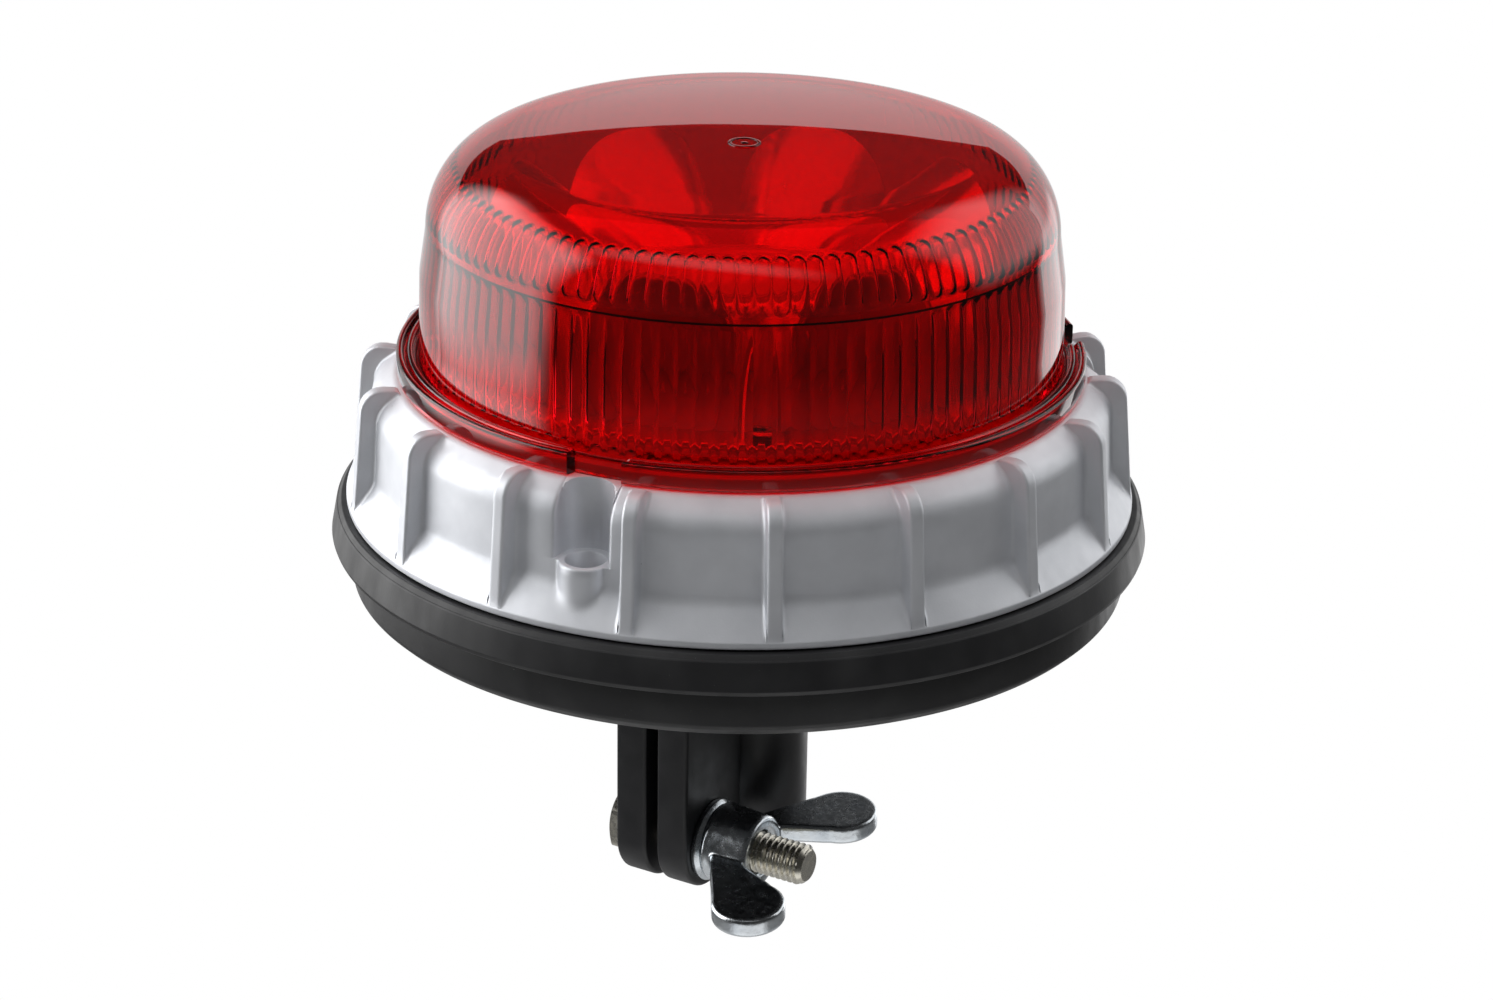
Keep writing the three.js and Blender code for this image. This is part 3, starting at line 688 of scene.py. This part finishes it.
def ring_rows():
    """Rows of the ring's outside: (r, z, normal, rib height, shrink).

    Shrink is how much smaller a boss is at that row, or None above the bosses.
    """
    outside = ring_outer_profile()
    normals = normals_of(outside)
    rib_line = rib_outline()
    rows = []
    for (r, z), normal in zip(outside, normals):
        rows.append((r, z, normal, ray_to_line((r, z), normal, rib_line)))
    below = [(*row, 0.0) for row in rows if row[1] < BOSS_TOP - 0.6]
    above = [(*row, None) for row in rows if row[1] > BOSS_TOP + 0.3]
    shelf = [between(below[-1], above[0], BOSS_TOP - drop, shrink) for drop, shrink in SHELF_ROWS]
    return below + shelf + above


def between(below, above, z, shrink):
    """A row of the ring at height z on the line between two others."""
    t = (z - below[1]) / (above[1] - below[1])
    radius = below[0] + (above[0] - below[0]) * t
    return (radius, z, below[2], below[3] + (above[3] - below[3]) * t, shrink)


def boss_out(out, x, shrink):
    """How far out the surface lies near a screw boss, at x mm from its middle plane."""
    if shrink is not None:
        radius = BOSS_R - shrink
        reach = sqrt(radius * radius - x * x) if x < radius else 0
        return smooth_max(out, BOSS_AT_R + reach, BOSS_BLEND)
    if x < POCKET_R:
        return min(out, BOSS_AT_R - sqrt(POCKET_R ** 2 - x * x))
    inset = clamp(POCKET_R + POCKET_EDGE - x, 0, POCKET_EDGE)
    return out - POCKET_EDGE + sqrt(POCKET_EDGE ** 2 - inset ** 2)


def make_ring():
    """A casting with ribs and three screw bosses; each boss has a pocket above and a hole."""
    rows = ring_rows()
    columns = ring_columns()
    inside = rounded([
        (61.8, 96.6, 0), (60.45, 96.6, 0), (60.45, 94.2, 0), (57, 94.2, 0.3),
        (57, 98.5, 0.3), (7, 98.5, 0.4), (7, 95.3, 0.4), (55.5, 95.3, 1.5),
        (57.5, 91.2, 1.5), (65.0, 90.6, 2), (66.3, 81.5, 3), (68.6, 76.5, 2),
        (68.6, RIM_Z, 0),
    ], 3)
    vertices = []
    for r, z, normal, height, shrink in rows:
        for angle, x, kind in columns:
            radius, level = r, z
            if kind == "rib":
                rise = rib_rise(abs(x), height)
                radius, level = r + normal[0] * rise, z + normal[1] * rise
            out = sqrt(max(0.0, radius * radius - x * x))
            if kind == "boss":
                out = boss_out(out, abs(x), shrink)
            vertices.append(place_point(angle, out, x, level))
    for r, z in inside:
        for angle, x, kind in columns:
            out = sqrt(max(0.0, r * r - x * x))
            if kind == "boss" and z > BOSS_TOP - 6 and r > 57.4:
                behind = sqrt(max(0.0, (POCKET_R + 2) ** 2 - x * x))
                out = min(out, BOSS_AT_R - behind)
            vertices.append(place_point(angle, out, x, z))
    faces = grid_faces(len(rows) + len(inside), len(columns), True, True)
    ring = piece("ring_casting", vertices, faces, 38)
    for angle in BOSS_ANGLES:
        combine(ring, boss_hole(angle))
    tidy(ring, 38)
    put(ring, "light", "cast_metal", "housing_ring")


def place_point(angle, out, offset, z):
    """The point that lies out along a direction in degrees, and offset to its left."""
    a = radians(angle)
    x = out * cos(a) - offset * sin(a)
    return (x, out * sin(a) + offset * cos(a), z)


def boss_hole(angle):
    """The tool for a boss's hole, with a small chamfer at its mouth."""
    floor, mouth_r = 77.4, BOSS_HOLE_R + 0.35
    outline = [(0, floor), (BOSS_HOLE_R, floor), (BOSS_HOLE_R, BOSS_TOP - 0.3)]
    outline += [(mouth_r, BOSS_TOP + 0.2), (mouth_r, BOSS_TOP + 1), (0, BOSS_TOP + 1)]
    return turned("hole", outline, 40, centre=place_point(angle, BOSS_AT_R, 0, 0)[:2])


# --- band and bowl

def make_band():
    high = ring_low.z
    outline = rounded([
        (72.2, band_low.z, 0), (band_high.x - 0.3, band_low.z, 0.4),
        (band_high.x, band_low.z + 0.9, 0.6), (76.05, high - 1.5, 0.3),
        (75.85, high - 1.25, 0.12), (75.75, high - 1.25, 0.1), (75.1, high - 0.4, 0.4),
        (72.2, high - 0.4, 0),
    ], 6)
    band = turned("band_moulding", outline, 360)
    put(band, "light", "band_rubber", "base_band")


def make_bowl():
    wall = bowl_high.x
    floor = FLOOR_Z
    outline = rounded([
        (71.9, RIM_Z - 0.3, 0), (71.9, band_low.z - 0.2, 0.15),
        (wall, band_low.z - 0.2, 0.25), (wall, 57.6, 1.6), (71.4, 55.8, 1.6),
        (46, floor, 9), (14.6, floor, 0.4), (14.6, floor + 3, 0), (45, floor + 3, 3),
        (68.7, 59, 3), (68.7, RIM_Z - 0.3, 0),
    ], 8)
    bowl = turned("bowl_moulding", outline, 360)
    vent_at = place_point(217, 36, 0, 0)[:2]
    hole = turned("hole", [(0, 40), (3.6, 40), (3.6, 52), (0, 52)], 40, centre=vent_at)
    combine(bowl, hole)
    put(bowl, "light", "band_rubber", "base_bowl")


# --- clamp

# Local x, y and z become Y, Z and X.
ALONG_BOLT = Matrix(((0, 0, 1, 0), (1, 0, 0, 0), (0, 1, 0, 0), (0, 0, 0, 1)))
ON_BOLT = Matrix.Translation((0, BOLT_Y, BOLT_Z)) @ ALONG_BOLT


def inset_outline(outline, distance):
    """Moves a closed counterclockwise outline inwards."""
    moved = []
    count = len(outline)
    for i, (x, y) in enumerate(outline):
        before = Vector(outline[i - 1])
        after = Vector(outline[(i + 1) % count])
        here = Vector((x, y))
        a = (here - before).normalized()
        b = (after - here).normalized()
        normal = Vector((-a.y - b.y, a.x + b.x)).normalized()
        spread = max(0.3, normal.dot(Vector((-a.y, a.x))))
        moved.append(tuple(here + normal * (distance / spread)))
    return moved


def slab(name, outline, low, high, edge, steps=4):
    """A plate with rounded edges: a counterclockwise outline between two heights."""
    levels = []
    for k in range(steps + 1):
        a = pi / 2 * k / steps
        levels.append((edge * (1 - sin(a)), low + edge * (1 - cos(a))))
    levels += [(inset, high + low - z) for inset, z in reversed(levels)]
    vertices = []
    for inset, z in levels:
        vertices += [(x, y, z) for x, y in inset_outline(outline, inset)]
    count = len(outline)
    faces = grid_faces(len(levels), count, False, True)
    last = (len(levels) - 1) * count
    faces += [tuple(range(count - 1, -1, -1)), tuple(range(last, last + count))]
    return piece(name, vertices, faces)


SLIT_HALF = 1.15
SLIT_TOP = 46
EAR_BACK_Y = -10.5
EAR_EDGE = 0.75
BORE_R = 12.25
BORE_TOP = 50
BARREL_R = 14.1
PLATE_R = 28
BOLT_HOLE_R = 4.4
HEAD_POCKET_R = 7.97  # to a corner of the hexagon


def make_socket():
    """A slit barrel with two ears, a plate inside the bowl and a pocket for the bolt's head."""
    front = socket_low.y
    foot = BOLT_Z - (BOLT_Y - front)
    outline = rounded([
        (EAR_BACK_Y, FLOOR_Z - 0.1, 0), (front, FLOOR_Z - 0.1, 0),
        (front, foot, BOLT_Y - front), (EAR_BACK_Y, foot, 0),
    ], 14)
    outside = -washer_low.x + 0.1
    top, plate = socket_high.z, FLOOR_Z + 3.1
    barrel = turned("socket_body", rounded([
        (BORE_R, 0, 0.8), (BARREL_R, 0, 0.7), (BARREL_R, plate, 0), (PLATE_R, plate, 0.3),
        (PLATE_R, plate + 3.4, 0.8), (BARREL_R, plate + 3.4, 0.8), (BARREL_R, top, 0.5),
        (BORE_R, top, 0.5), (BORE_R, BORE_TOP + 2, 0), (9.5, BORE_TOP + 2, 0.3),
        (9.5, BORE_TOP, 0.3), (BORE_R, BORE_TOP, 0),
    ], 5), 144)
    y_low, y_high = front - 3, -5
    corners = [(-SLIT_HALF, y_low), (SLIT_HALF, y_low), (SLIT_HALF, y_high), (-SLIT_HALF, y_high)]
    combine(barrel, prism("slit", corners, -2, SLIT_TOP))
    for side in (-1, 1):
        low, high = sorted((side * SLIT_HALF, side * -outside))
        ear = slab("ear", outline, low, high, EAR_EDGE)
        move(ear, ALONG_BOLT)
        combine(barrel, ear, "UNION")
    inner = BORE_TOP - 0.1
    core = turned("core", [(0, -2), (BORE_R, -2), (BORE_R, inner), (0, inner)], 144)
    combine(barrel, core)
    hole = turned("hole", [(0, -12), (BOLT_HOLE_R, -12), (BOLT_HOLE_R, 12), (0, 12)], 48)
    corners = [place_point(a, HEAD_POCKET_R, 0, 0)[:2] for a in range(0, 360, 60)]
    for tool in (hole, prism("pocket", corners, -20, outside + 1.7)):
        move(tool, ON_BOLT)
        combine(barrel, tool)
    tidy(barrel, 30)
    put(barrel, "light", "black_plastic", "clamp_socket")


THREAD_R = 3.93
THREAD_PITCH = 1.25
THREAD_DEPTH = 0.72
PLAIN_SHANK = 5.5
HEAD_HEIGHT = 5.3
HEAD_FACE_R = 6.15  # the chamfer starts here
HEX_ACROSS = 13
HEX_CORNER_R = 7.38
TIP_FACE_R = 2.2


def make_bolt():
    """Local z runs along the bolt with the tip at the high end."""
    tip, low = bolt_high.x, bolt_low.x
    high, half = low + HEAD_HEIGHT, HEX_ACROSS / 2
    thread_start = high + PLAIN_SHANK
    outline = [(r, low, "face") for r in (0, 3.0, 5.9, HEAD_FACE_R)]
    outline += [(half, low + 0.1, "bevel"), (half, high - 0.5, "hex"), (half, high - 0.25, "hex")]
    outline += [(6.0, high - 0.2, "disc"), (5.9, high, "disc"), (THREAD_R, high, "disc")]
    outline += [(THREAD_R, thread_start - 1.0, "disc")]
    z = thread_start
    while z < tip:
        outline.append((THREAD_R, z, "thread"))
        z += THREAD_PITCH / 12
    outline += [(THREAD_R, tip, "thread"), (TIP_FACE_R, tip, "face"), (0, tip, "face")]

    def shape(r, z, angle, row):
        zone = outline[row][2]
        if zone in ("hex", "bevel"):
            fold = (angle + TURN / 12) % (TURN / 6) - TURN / 12
            reach = min(half / cos(fold), HEX_CORNER_R)
            return (reach, low + (reach - HEAD_FACE_R) * 0.5 if zone == "bevel" else z)
        if zone == "thread":
            phase = ((z - high) / THREAD_PITCH - angle / TURN) % 1.0
            ridge = clamp((abs(phase - 0.5) - 0.06) / 0.34, 0, 1)
            runout = clamp((z - thread_start) / 1.5, 0, 1)
            cut = THREAD_DEPTH * (1 - ridge) * runout
            tip_cone = 2.95 + clamp(tip - z, 0, 2) * 0.95
            return (min(r - cut, tip_cone), z)
        return (r, z)

    bolt = turned("bolt", [(r, z) for r, z, _ in outline], 96, shape, sharp=28)
    move(bolt, ON_BOLT)
    put(bolt, "light", "bolt_steel", "clamp_bolt")


def make_washer():
    low, high = washer_low.x, washer_high.x
    radius = (washer_high.z - washer_low.z) / 2
    outline = rounded([
        (4.35, low, 0.15), (radius - 0.1, low, 0.25), (radius, low + 0.9, 0.25),
        (radius - 0.75, high, 0.35), (4.35, high, 0.3),
    ], 5)
    washer = turned("washer", outline, 128)
    move(washer, ON_BOLT)
    put(washer, "washer", "zinc", "flat_washer")


WING_TURN = 5  # degrees
WING_HALF = 1.9
NUT_LENGTH = 9.5


def wing_outline(side):
    """One wing in the plane of the nut's axis (x) and radius (y), counterclockwise."""
    curve = curve_points((0.9, 5.2), (4.6, 11.5), (10.3, 20.6), 8)
    curve += arc((16.6, 17.8), (6.9, 6.9), 152, -80, 26)
    curve += curve_points((17.9, 10.9), (13.2, 9.0), (9.3, 7.2), 8)[1:]
    curve.append((9.3, 5.2))
    outline = [(x, y * side) for x, y in curve]
    return outline[::-1] if side > 0 else outline


def make_nut():
    length = NUT_LENGTH
    hub = turned("nut", rounded([
        (4.25, 0, 0.2), (7.8, 0, 0.6), (7.6, 1.6, 1), (7.1, length, 0.9),
        (5.0, length, 0.2), (4.25, length - 0.7, 0.1),
    ], 5), 96)
    move(hub, ALONG_BOLT)
    for side in (1, -1):
        wing = slab("wing", wing_outline(side), -WING_HALF, WING_HALF, 0.7)
        combine(hub, wing, "UNION")
    soften(hub, 0.26, 5)
    turn = Matrix.Rotation(radians(WING_TURN), 4, "X")
    move(hub, Matrix.Translation((nut_low.x, BOLT_Y, BOLT_Z)) @ turn)
    put(hub, "nut", "zinc", "wing_nut")


def soften(obj, voxel, rounds):
    """Remeshes a casting evenly and lets its corners melt a little."""
    modifier = obj.modifiers.new("remesh", "REMESH")
    modifier.mode = "VOXEL"
    modifier.voxel_size = voxel * MM
    modifier = obj.modifiers.new("smooth", "SMOOTH")
    modifier.factor = 0.5
    modifier.iterations = rounds
    apply_modifiers(obj)
    tidy(obj, 60)


# --- reflector, board and label

CUP_ANGLES = [12.5 + 45 * k for k in range(8)]
CUP_APEX = 18.4
CUP_FACE = 45.5
CUP_HALF = 14.75
CUP_HEIGHT = 27.8
CUP_SQUARENESS = 2.9
CUP_WALL = 1.0
HUB_R = 24
HUB_TOP = 117.6


def arch_point(u, grow):
    """A point of the cup's arch, for u from 0 to 1 over the top."""
    a = pi * u
    c, s = cos(a), sin(a)
    reach = (abs(c) ** CUP_SQUARENESS + abs(s) ** CUP_SQUARENESS) ** (-1 / CUP_SQUARENESS)
    return c * reach * (CUP_HALF + grow), s * reach * (CUP_HEIGHT + grow)


def make_petal(angle):
    """One cup: a half paraboloid that opens outwards, with a rounded lip at its mouth."""
    steps, across = 26, 48
    rows = [((1 - k / steps) ** 1.5, 0.0, 0.0) for k in range(steps + 1)]
    rows += [((k / steps) ** 1.5, CUP_WALL, 0.0) for k in range(1, steps + 1)]
    rows += [(1.0, CUP_WALL * 0.5, 0.25)]
    vertices = []
    for t, grow, lip in rows:
        along = CUP_APEX - grow + (CUP_FACE - CUP_APEX + grow) * t + lip
        size = sqrt(t)
        for j in range(across + 1):
            x, z = arch_point(j / across, grow)
            vertices.append(place_point(angle, along, x * size, CUP_BASE + z * size))
    faces = grid_faces(len(rows), across + 1, True, False)
    for j in (0, across):
        edge = [i * (across + 1) + j for i in range(len(rows))]
        faces.append(tuple(edge if j else edge[::-1]))
    return piece("petal", vertices, faces, 50)


def hub_wall_low(angle, radius):
    """Lowest height of the hub's wall, which stops where a cup's shell takes over."""
    off = min(abs((angle - radians(a) + pi) % TURN - pi) for a in CUP_ANGLES)
    x = radius * sin(off)
    back = CUP_APEX - CUP_WALL
    t = (radius * cos(off) - back) / (CUP_FACE - back)
    inside = max(t, 0) ** (CUP_SQUARENESS / 2) - (x / (CUP_HALF + CUP_WALL)) ** CUP_SQUARENESS
    rise = (CUP_HEIGHT + CUP_WALL) * max(inside, 0) ** (1 / CUP_SQUARENESS) - 0.4
    return CUP_BASE + max(0, rise)


def make_reflector():
    """Eight cups around a round hub, on a flat rim."""
    outline = rounded([
        (0, HUB_TOP, 0), (HUB_R, HUB_TOP, 1.0), (HUB_R, HUB_TOP - 3.4, 0),
        (HUB_R, CUP_BASE, 0), (HUB_R - 1.0, CUP_BASE, 0), (HUB_R - 1.0, HUB_TOP - 3.4, 0),
        (HUB_R - 1.2, HUB_TOP - 1.2, 0), (0, HUB_TOP - 1.2, 0),
    ], 5)

    def shape(r, z, angle, row):
        if z < CUP_BASE + 0.01:
            return (r, min(hub_wall_low(angle, HUB_R), HUB_TOP - 3.6))
        return (r, z)

    parts = [turned("reflector_moulding", outline, 720, shape)]
    parts += [make_petal(angle) for angle in CUP_ANGLES]
    inner, outer, low, high = 44.9, 51.4, CUP_BASE, CUP_BASE + 1.2
    rim = [(inner, low, 0), (outer, low, 0.2), (outer, high, 0.4), (inner, high, 0.3)]
    parts.append(turned("rim", rounded(rim, 4), 256))
    reflector = join_objects(parts)
    tidy(reflector, 40)
    put(reflector, "light", "mirror", "reflector")


def make_label():
    """A printed disc on the hub, left plain, with a small blank sticker."""
    low, high, radius = label_low.z, label_high.z, label_high.x
    corners = [(0, low, 0), (radius, low, 0), (radius, high, 0.12), (0, high, 0)]
    disc = turned("label_disc_print", rounded(corners, 3), 160)
    put(disc, "light", "label", "label_disc")
    sticker = slab("blank_sticker", rectangle(9, 3.2, 0.8, 5), high - 0.02, high + 0.12, 0.05, 2)
    move(sticker, Matrix.Rotation(radians(30), 4, "Z") @ Matrix.Translation((0, 13.0, 0)))
    put(sticker, "light", "white_board")


def make_led(index):
    """A square package with a low dome, turned to face outwards."""
    low, high = box_mm(f"led_{index}")
    centre = (low + high) / 2
    facing = atan2(centre.y, centre.x)
    body = slab("led", rectangle(1.6, 1.6, 0.25, 3), low.z, low.z + 0.65, 0.12, 2)
    foot, dome_r, dome_z = low.z + 0.5, 1.3, low.z + 0.62
    dome = [(0, foot), (dome_r, foot)] + arc((0, dome_z), (dome_r, high.z - dome_z), 0, 90, 8)
    led = join_objects([body, turned("dome", dome, 48)])
    led.name = f"led_package_{index}"
    move(led, Matrix.Translation((centre.x, centre.y, 0)) @ Matrix.Rotation(facing, 4, "Z"))
    tidy(led, 35)
    put(led, "light", "led_body", f"led_{index}")


def make_board():
    low, high = box_mm("led_board")
    hole_r = 5
    outline = rounded([
        (hole_r, low.z, 0), (high.x, low.z, 0.1), (high.x, high.z, 0.1),
        (hole_r, high.z, 0.1),
    ], 2)
    board = turned("led_board_laminate", outline, 200)
    put(board, "light", "white_board", "led_board")


def make_screw(node, facing):
    """A pan-head screw with a hexagonal recess; facing is 1 if the head is on top."""
    low, high = box_mm(node)
    centre = (low + high) / 2
    radius, length = (high.x - low.x) / 2, high.z - low.z
    head, shank, recess = radius * 0.72, radius * 0.55, radius * 0.42
    neck = length - head
    outline = [(0, length - 1.1, ""), (recess, length - 1.1, "hex"), (recess, length - 0.1, "hex")]
    outline += [(radius * 0.52, length, "")]
    crown = arc((radius * 0.62, length - head * 0.55), (radius * 0.38, head * 0.55), 80, 0, 6)
    outline += [(r, z, "") for r, z in crown]
    outline += [(radius, neck + 0.1, ""), (radius - 0.1, neck, ""), (shank, neck, "")]
    pitch = 1.0
    z = neck - 0.3
    while z > 0.5:
        outline.append((shank, z, "thread"))
        z -= pitch / 8
    outline += [(shank * 0.6, 0, ""), (0, 0, "")]

    def shape(r, z, angle, row):
        zone = outline[row][2]
        if zone == "hex":
            return (r * 0.9 / cos((angle + TURN / 12) % (TURN / 6) - TURN / 12), z)
        if zone == "thread":
            return (r * (0.86 + 0.14 * wave((z / pitch - angle / TURN) % 1.0)), z)
        return (r, z)

    screw = turned(f"{node}_turned", [(r, z) for r, z, _ in outline], 36, shape, sharp=30)
    turn = Matrix.Identity(4) if facing > 0 else Matrix.Rotation(pi, 4, "X")
    base = low.z if facing > 0 else high.z
    move(screw, Matrix.Translation((centre.x, centre.y, base)) @ turn)
    put(screw, "light", "zinc", node)


SPRING_R = 2.9
SPRING_WIRE_R = 0.34
SPRING_TURNS = 5.5
SPRING_LOW = 54.95  # middle of the wire at the lower end


def make_spring():
    """Open turns between two closed end turns."""
    steps, around, closed, pitch = 198, 12, 0.72, 1.44
    vertices = []
    for i in range(steps + 1):
        turn = SPRING_TURNS * i / steps
        open_turns = clamp(turn - 1, 0, SPRING_TURNS - 2)
        z = SPRING_LOW + closed * (turn - open_turns) + pitch * open_turns
        for j in range(around):
            angle = TURN * j / around
            r = SPRING_R + SPRING_WIRE_R * cos(angle)
            x, y = r * cos(TURN * turn), r * sin(TURN * turn)
            vertices.append((x, y, z + SPRING_WIRE_R * sin(angle)))
    last = steps * around
    faces = grid_faces(steps + 1, around, False, True)
    faces += [list(range(around)), list(range(last, last + around))]
    spring = piece("contact_spring_piece", vertices, faces)
    put(spring, "light", "bolt_steel", "contact_spring")
    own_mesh(spring)


def make_vent():
    low, high = box_mm("vent_plug")
    centre = (low + high) / 2
    radius = (high.x - low.x) / 2
    outline = rounded([
        (0, low.z + 0.35, 0), (2.2, low.z + 0.35, 0.2), (2.4, low.z, 0.15),
        (radius, low.z, 0.5), (radius, low.z + 1.4, 0.2), (3.4, low.z + 1.4, 0),
        (3.4, high.z, 0.3), (0, high.z, 0),
    ], 4)

    def shape(r, z, angle, row):
        knurl = 0.12 * wave(angle * 24 / TURN) if r > radius - 0.4 else 0
        return (r - knurl, z)

    vent = turned("vent_cap", outline, 192, shape, centre=(centre.x, centre.y))
    put(vent, "light", "nylon", "vent_plug", material="black_plastic")


# --- camera, lights and stage

TARGET = Vector((0, 0, 0.073))
VIEW_PLAN = -60  # direction of the camera around Z, in degrees from +X
VIEW_RISE = 22.4153  # degrees
VIEW_DISTANCE = 0.665  # metres, like TARGET
VIEW_LEAN = 0.861  # degrees of roll
LIGHT_DISTANCE = 0.9


def seen_from(azimuth, elevation, distance):
    """A point around the object; azimuth 0 is the camera's own side and grows to its right."""
    plan = radians(VIEW_PLAN + azimuth)
    rise = radians(elevation)
    flat = distance * cos(rise)
    height = distance * sin(rise)
    return TARGET + Vector((flat * cos(plan), flat * sin(plan), height))


def aim(obj, place, lean=0.0):
    """Puts a camera or light at a place, facing the target and rolled by lean degrees."""
    obj.location = place
    look = (TARGET - place).to_track_quat("-Z", "Y")
    obj.rotation_euler = (look @ Quaternion((0, 0, 1), radians(lean))).to_euler()


def make_camera():
    data = bpy.data.cameras.new("camera")
    data.lens = 84.52
    data.sensor_width = 36
    data.shift_x = 0.0048
    data.shift_y = -0.0103
    data.clip_start = 0.01
    camera = new_object("camera", data)
    aim(camera, seen_from(0, VIEW_RISE, VIEW_DISTANCE), VIEW_LEAN)
    bpy.context.scene.camera = camera


def softbox(name, azimuth, elevation, width, height, radiance, soft=0.0):
    """A panel that looks width by height degrees large; soft is the share that fades."""
    data = bpy.data.lights.new(name, "AREA")
    data.shape = "RECTANGLE"
    data.size = 2 * LIGHT_DISTANCE * tan(radians(width / 2))
    data.size_y = 2 * LIGHT_DISTANCE * tan(radians(height / 2))
    data.energy = pi * data.size * data.size_y * radiance
    light = new_object(name, data)
    aim(light, seen_from(azimuth, elevation, LIGHT_DISTANCE))
    light.visible_camera = False
    if soft:
        fade_edges(data, soft)
    return light


def fade_edges(data, soft):
    """Lets a panel's light fade towards its edges over that share of its size."""
    data.use_nodes = True
    tree = data.node_tree
    place = add_node(tree, "NewGeometry").outputs["Parametric"]
    parts = add_node(tree, "SeparateXYZ", {0: place})
    strength = 1.0
    for axis in (0, 1):
        for start in (0.0, 1.0):
            value = parts.outputs[axis]
            inputs = {"Value": value, "From Min": start, "From Max": abs(start - soft)}
            ramp = add_node(tree, "MapRange", inputs, interpolation_type="SMOOTHSTEP")
            strength = add_math(tree, "MULTIPLY", strength, ramp.outputs[0])
    tree.links.new(strength, tree.nodes["Emission"].inputs["Strength"])


def bright_for_camera(tree, bright, plain, through_lens):
    """Mixes two shaders: bright where the camera sees it, and through the lens if so asked."""
    path = add_node(tree, "LightPath").outputs
    turned_away = add_math(tree, "ADD", path["Glossy Depth"], path["Diffuse Depth"])
    straight = add_math(tree, "LESS_THAN", turned_away, 0.5)
    through = add_math(tree, "MULTIPLY", path["Is Transmission Ray"], straight)
    seen = add_math(tree, "MAXIMUM", path["Is Camera Ray"], through if through_lens else 0.0)
    inputs = {0: seen, 1: plain.outputs[0], 2: bright.outputs[0]}
    return add_node(tree, "MixShader", inputs)


WORLD_GREY = 0.035
FLOOR_HALF = 9000
FLOOR_DROP = 800


def make_stage():
    """A pale floor and world: white to the camera, but the object gets little light from them."""
    world = bpy.data.worlds.new("studio")
    bpy.context.scene.world = world
    world.use_nodes = True
    tree = world.node_tree
    plain = tree.nodes["Background"]
    plain.inputs["Color"].default_value = (WORLD_GREY, WORLD_GREY, WORLD_GREY, 1)
    bright = add_node(tree, "Background", {"Color": (1, 1, 1, 1)})
    mix = bright_for_camera(tree, bright, plain, through_lens=True)
    tree.links.new(mix.outputs[0], tree.nodes["World Output"].inputs["Surface"])
    x, z = FLOOR_HALF, FLOOR_DROP
    corners = [(-x, -x, -z), (x, -x, -z), (x, x, -z), (-x, x, -z)]
    floor = piece("floor", corners, [(0, 1, 2, 3)])
    material = bpy.data.materials.new("floor")
    material.use_nodes = True
    tree = material.node_tree
    surface = tree.nodes["Principled BSDF"]
    surface.inputs["Base Color"].default_value = (0.5, 0.5, 0.5, 1)
    surface.inputs["Roughness"].default_value = 0.9
    glow = add_node(tree, "Emission")
    mix = bright_for_camera(tree, glow, surface, through_lens=False)
    tree.links.new(mix.outputs[0], tree.nodes["Material Output"].inputs["Surface"])
    floor.data.materials.append(material)
    bpy.context.scene.view_settings.view_transform = "Standard"


def make_lights():
    softbox("left", -102, 14, 78, 76, 3.0, soft=0.22)
    softbox("right", 112, 24, 64, 70, 1.0, soft=0.25)
    softbox("right_edge", 140, -14, 30, 36, 0.9, soft=0.2)
    softbox("backdrop", 180, -8, 96, 56, 0.72)
    softbox("front_top", -25, 59, 92, 18, 0.7, soft=0.45)
    softbox("table", 5, -50, 90, 40, 0.6, soft=0.2)
    fill = softbox("top_fill", 0, 82, 84, 84, 2.1)
    fill.visible_glossy = False


for make in (
    dress_cad_nodes, make_stage, make_camera, make_lights, make_ring, make_lens, make_gate_ring,
    make_band, make_bowl, make_socket, make_bolt, make_washer, make_nut, make_reflector,
    make_label, make_board,
):
    make()
for index in range(1, 9):
    make_led(index)
for index in range(1, 5):
    make_screw(f"reflector_screw_{index}", 1)
for index in range(1, 4):
    make_screw(f"housing_screw_{index}", 1)
    make_screw(f"socket_screw_{index}", -1)
make_vent()
make_spring()
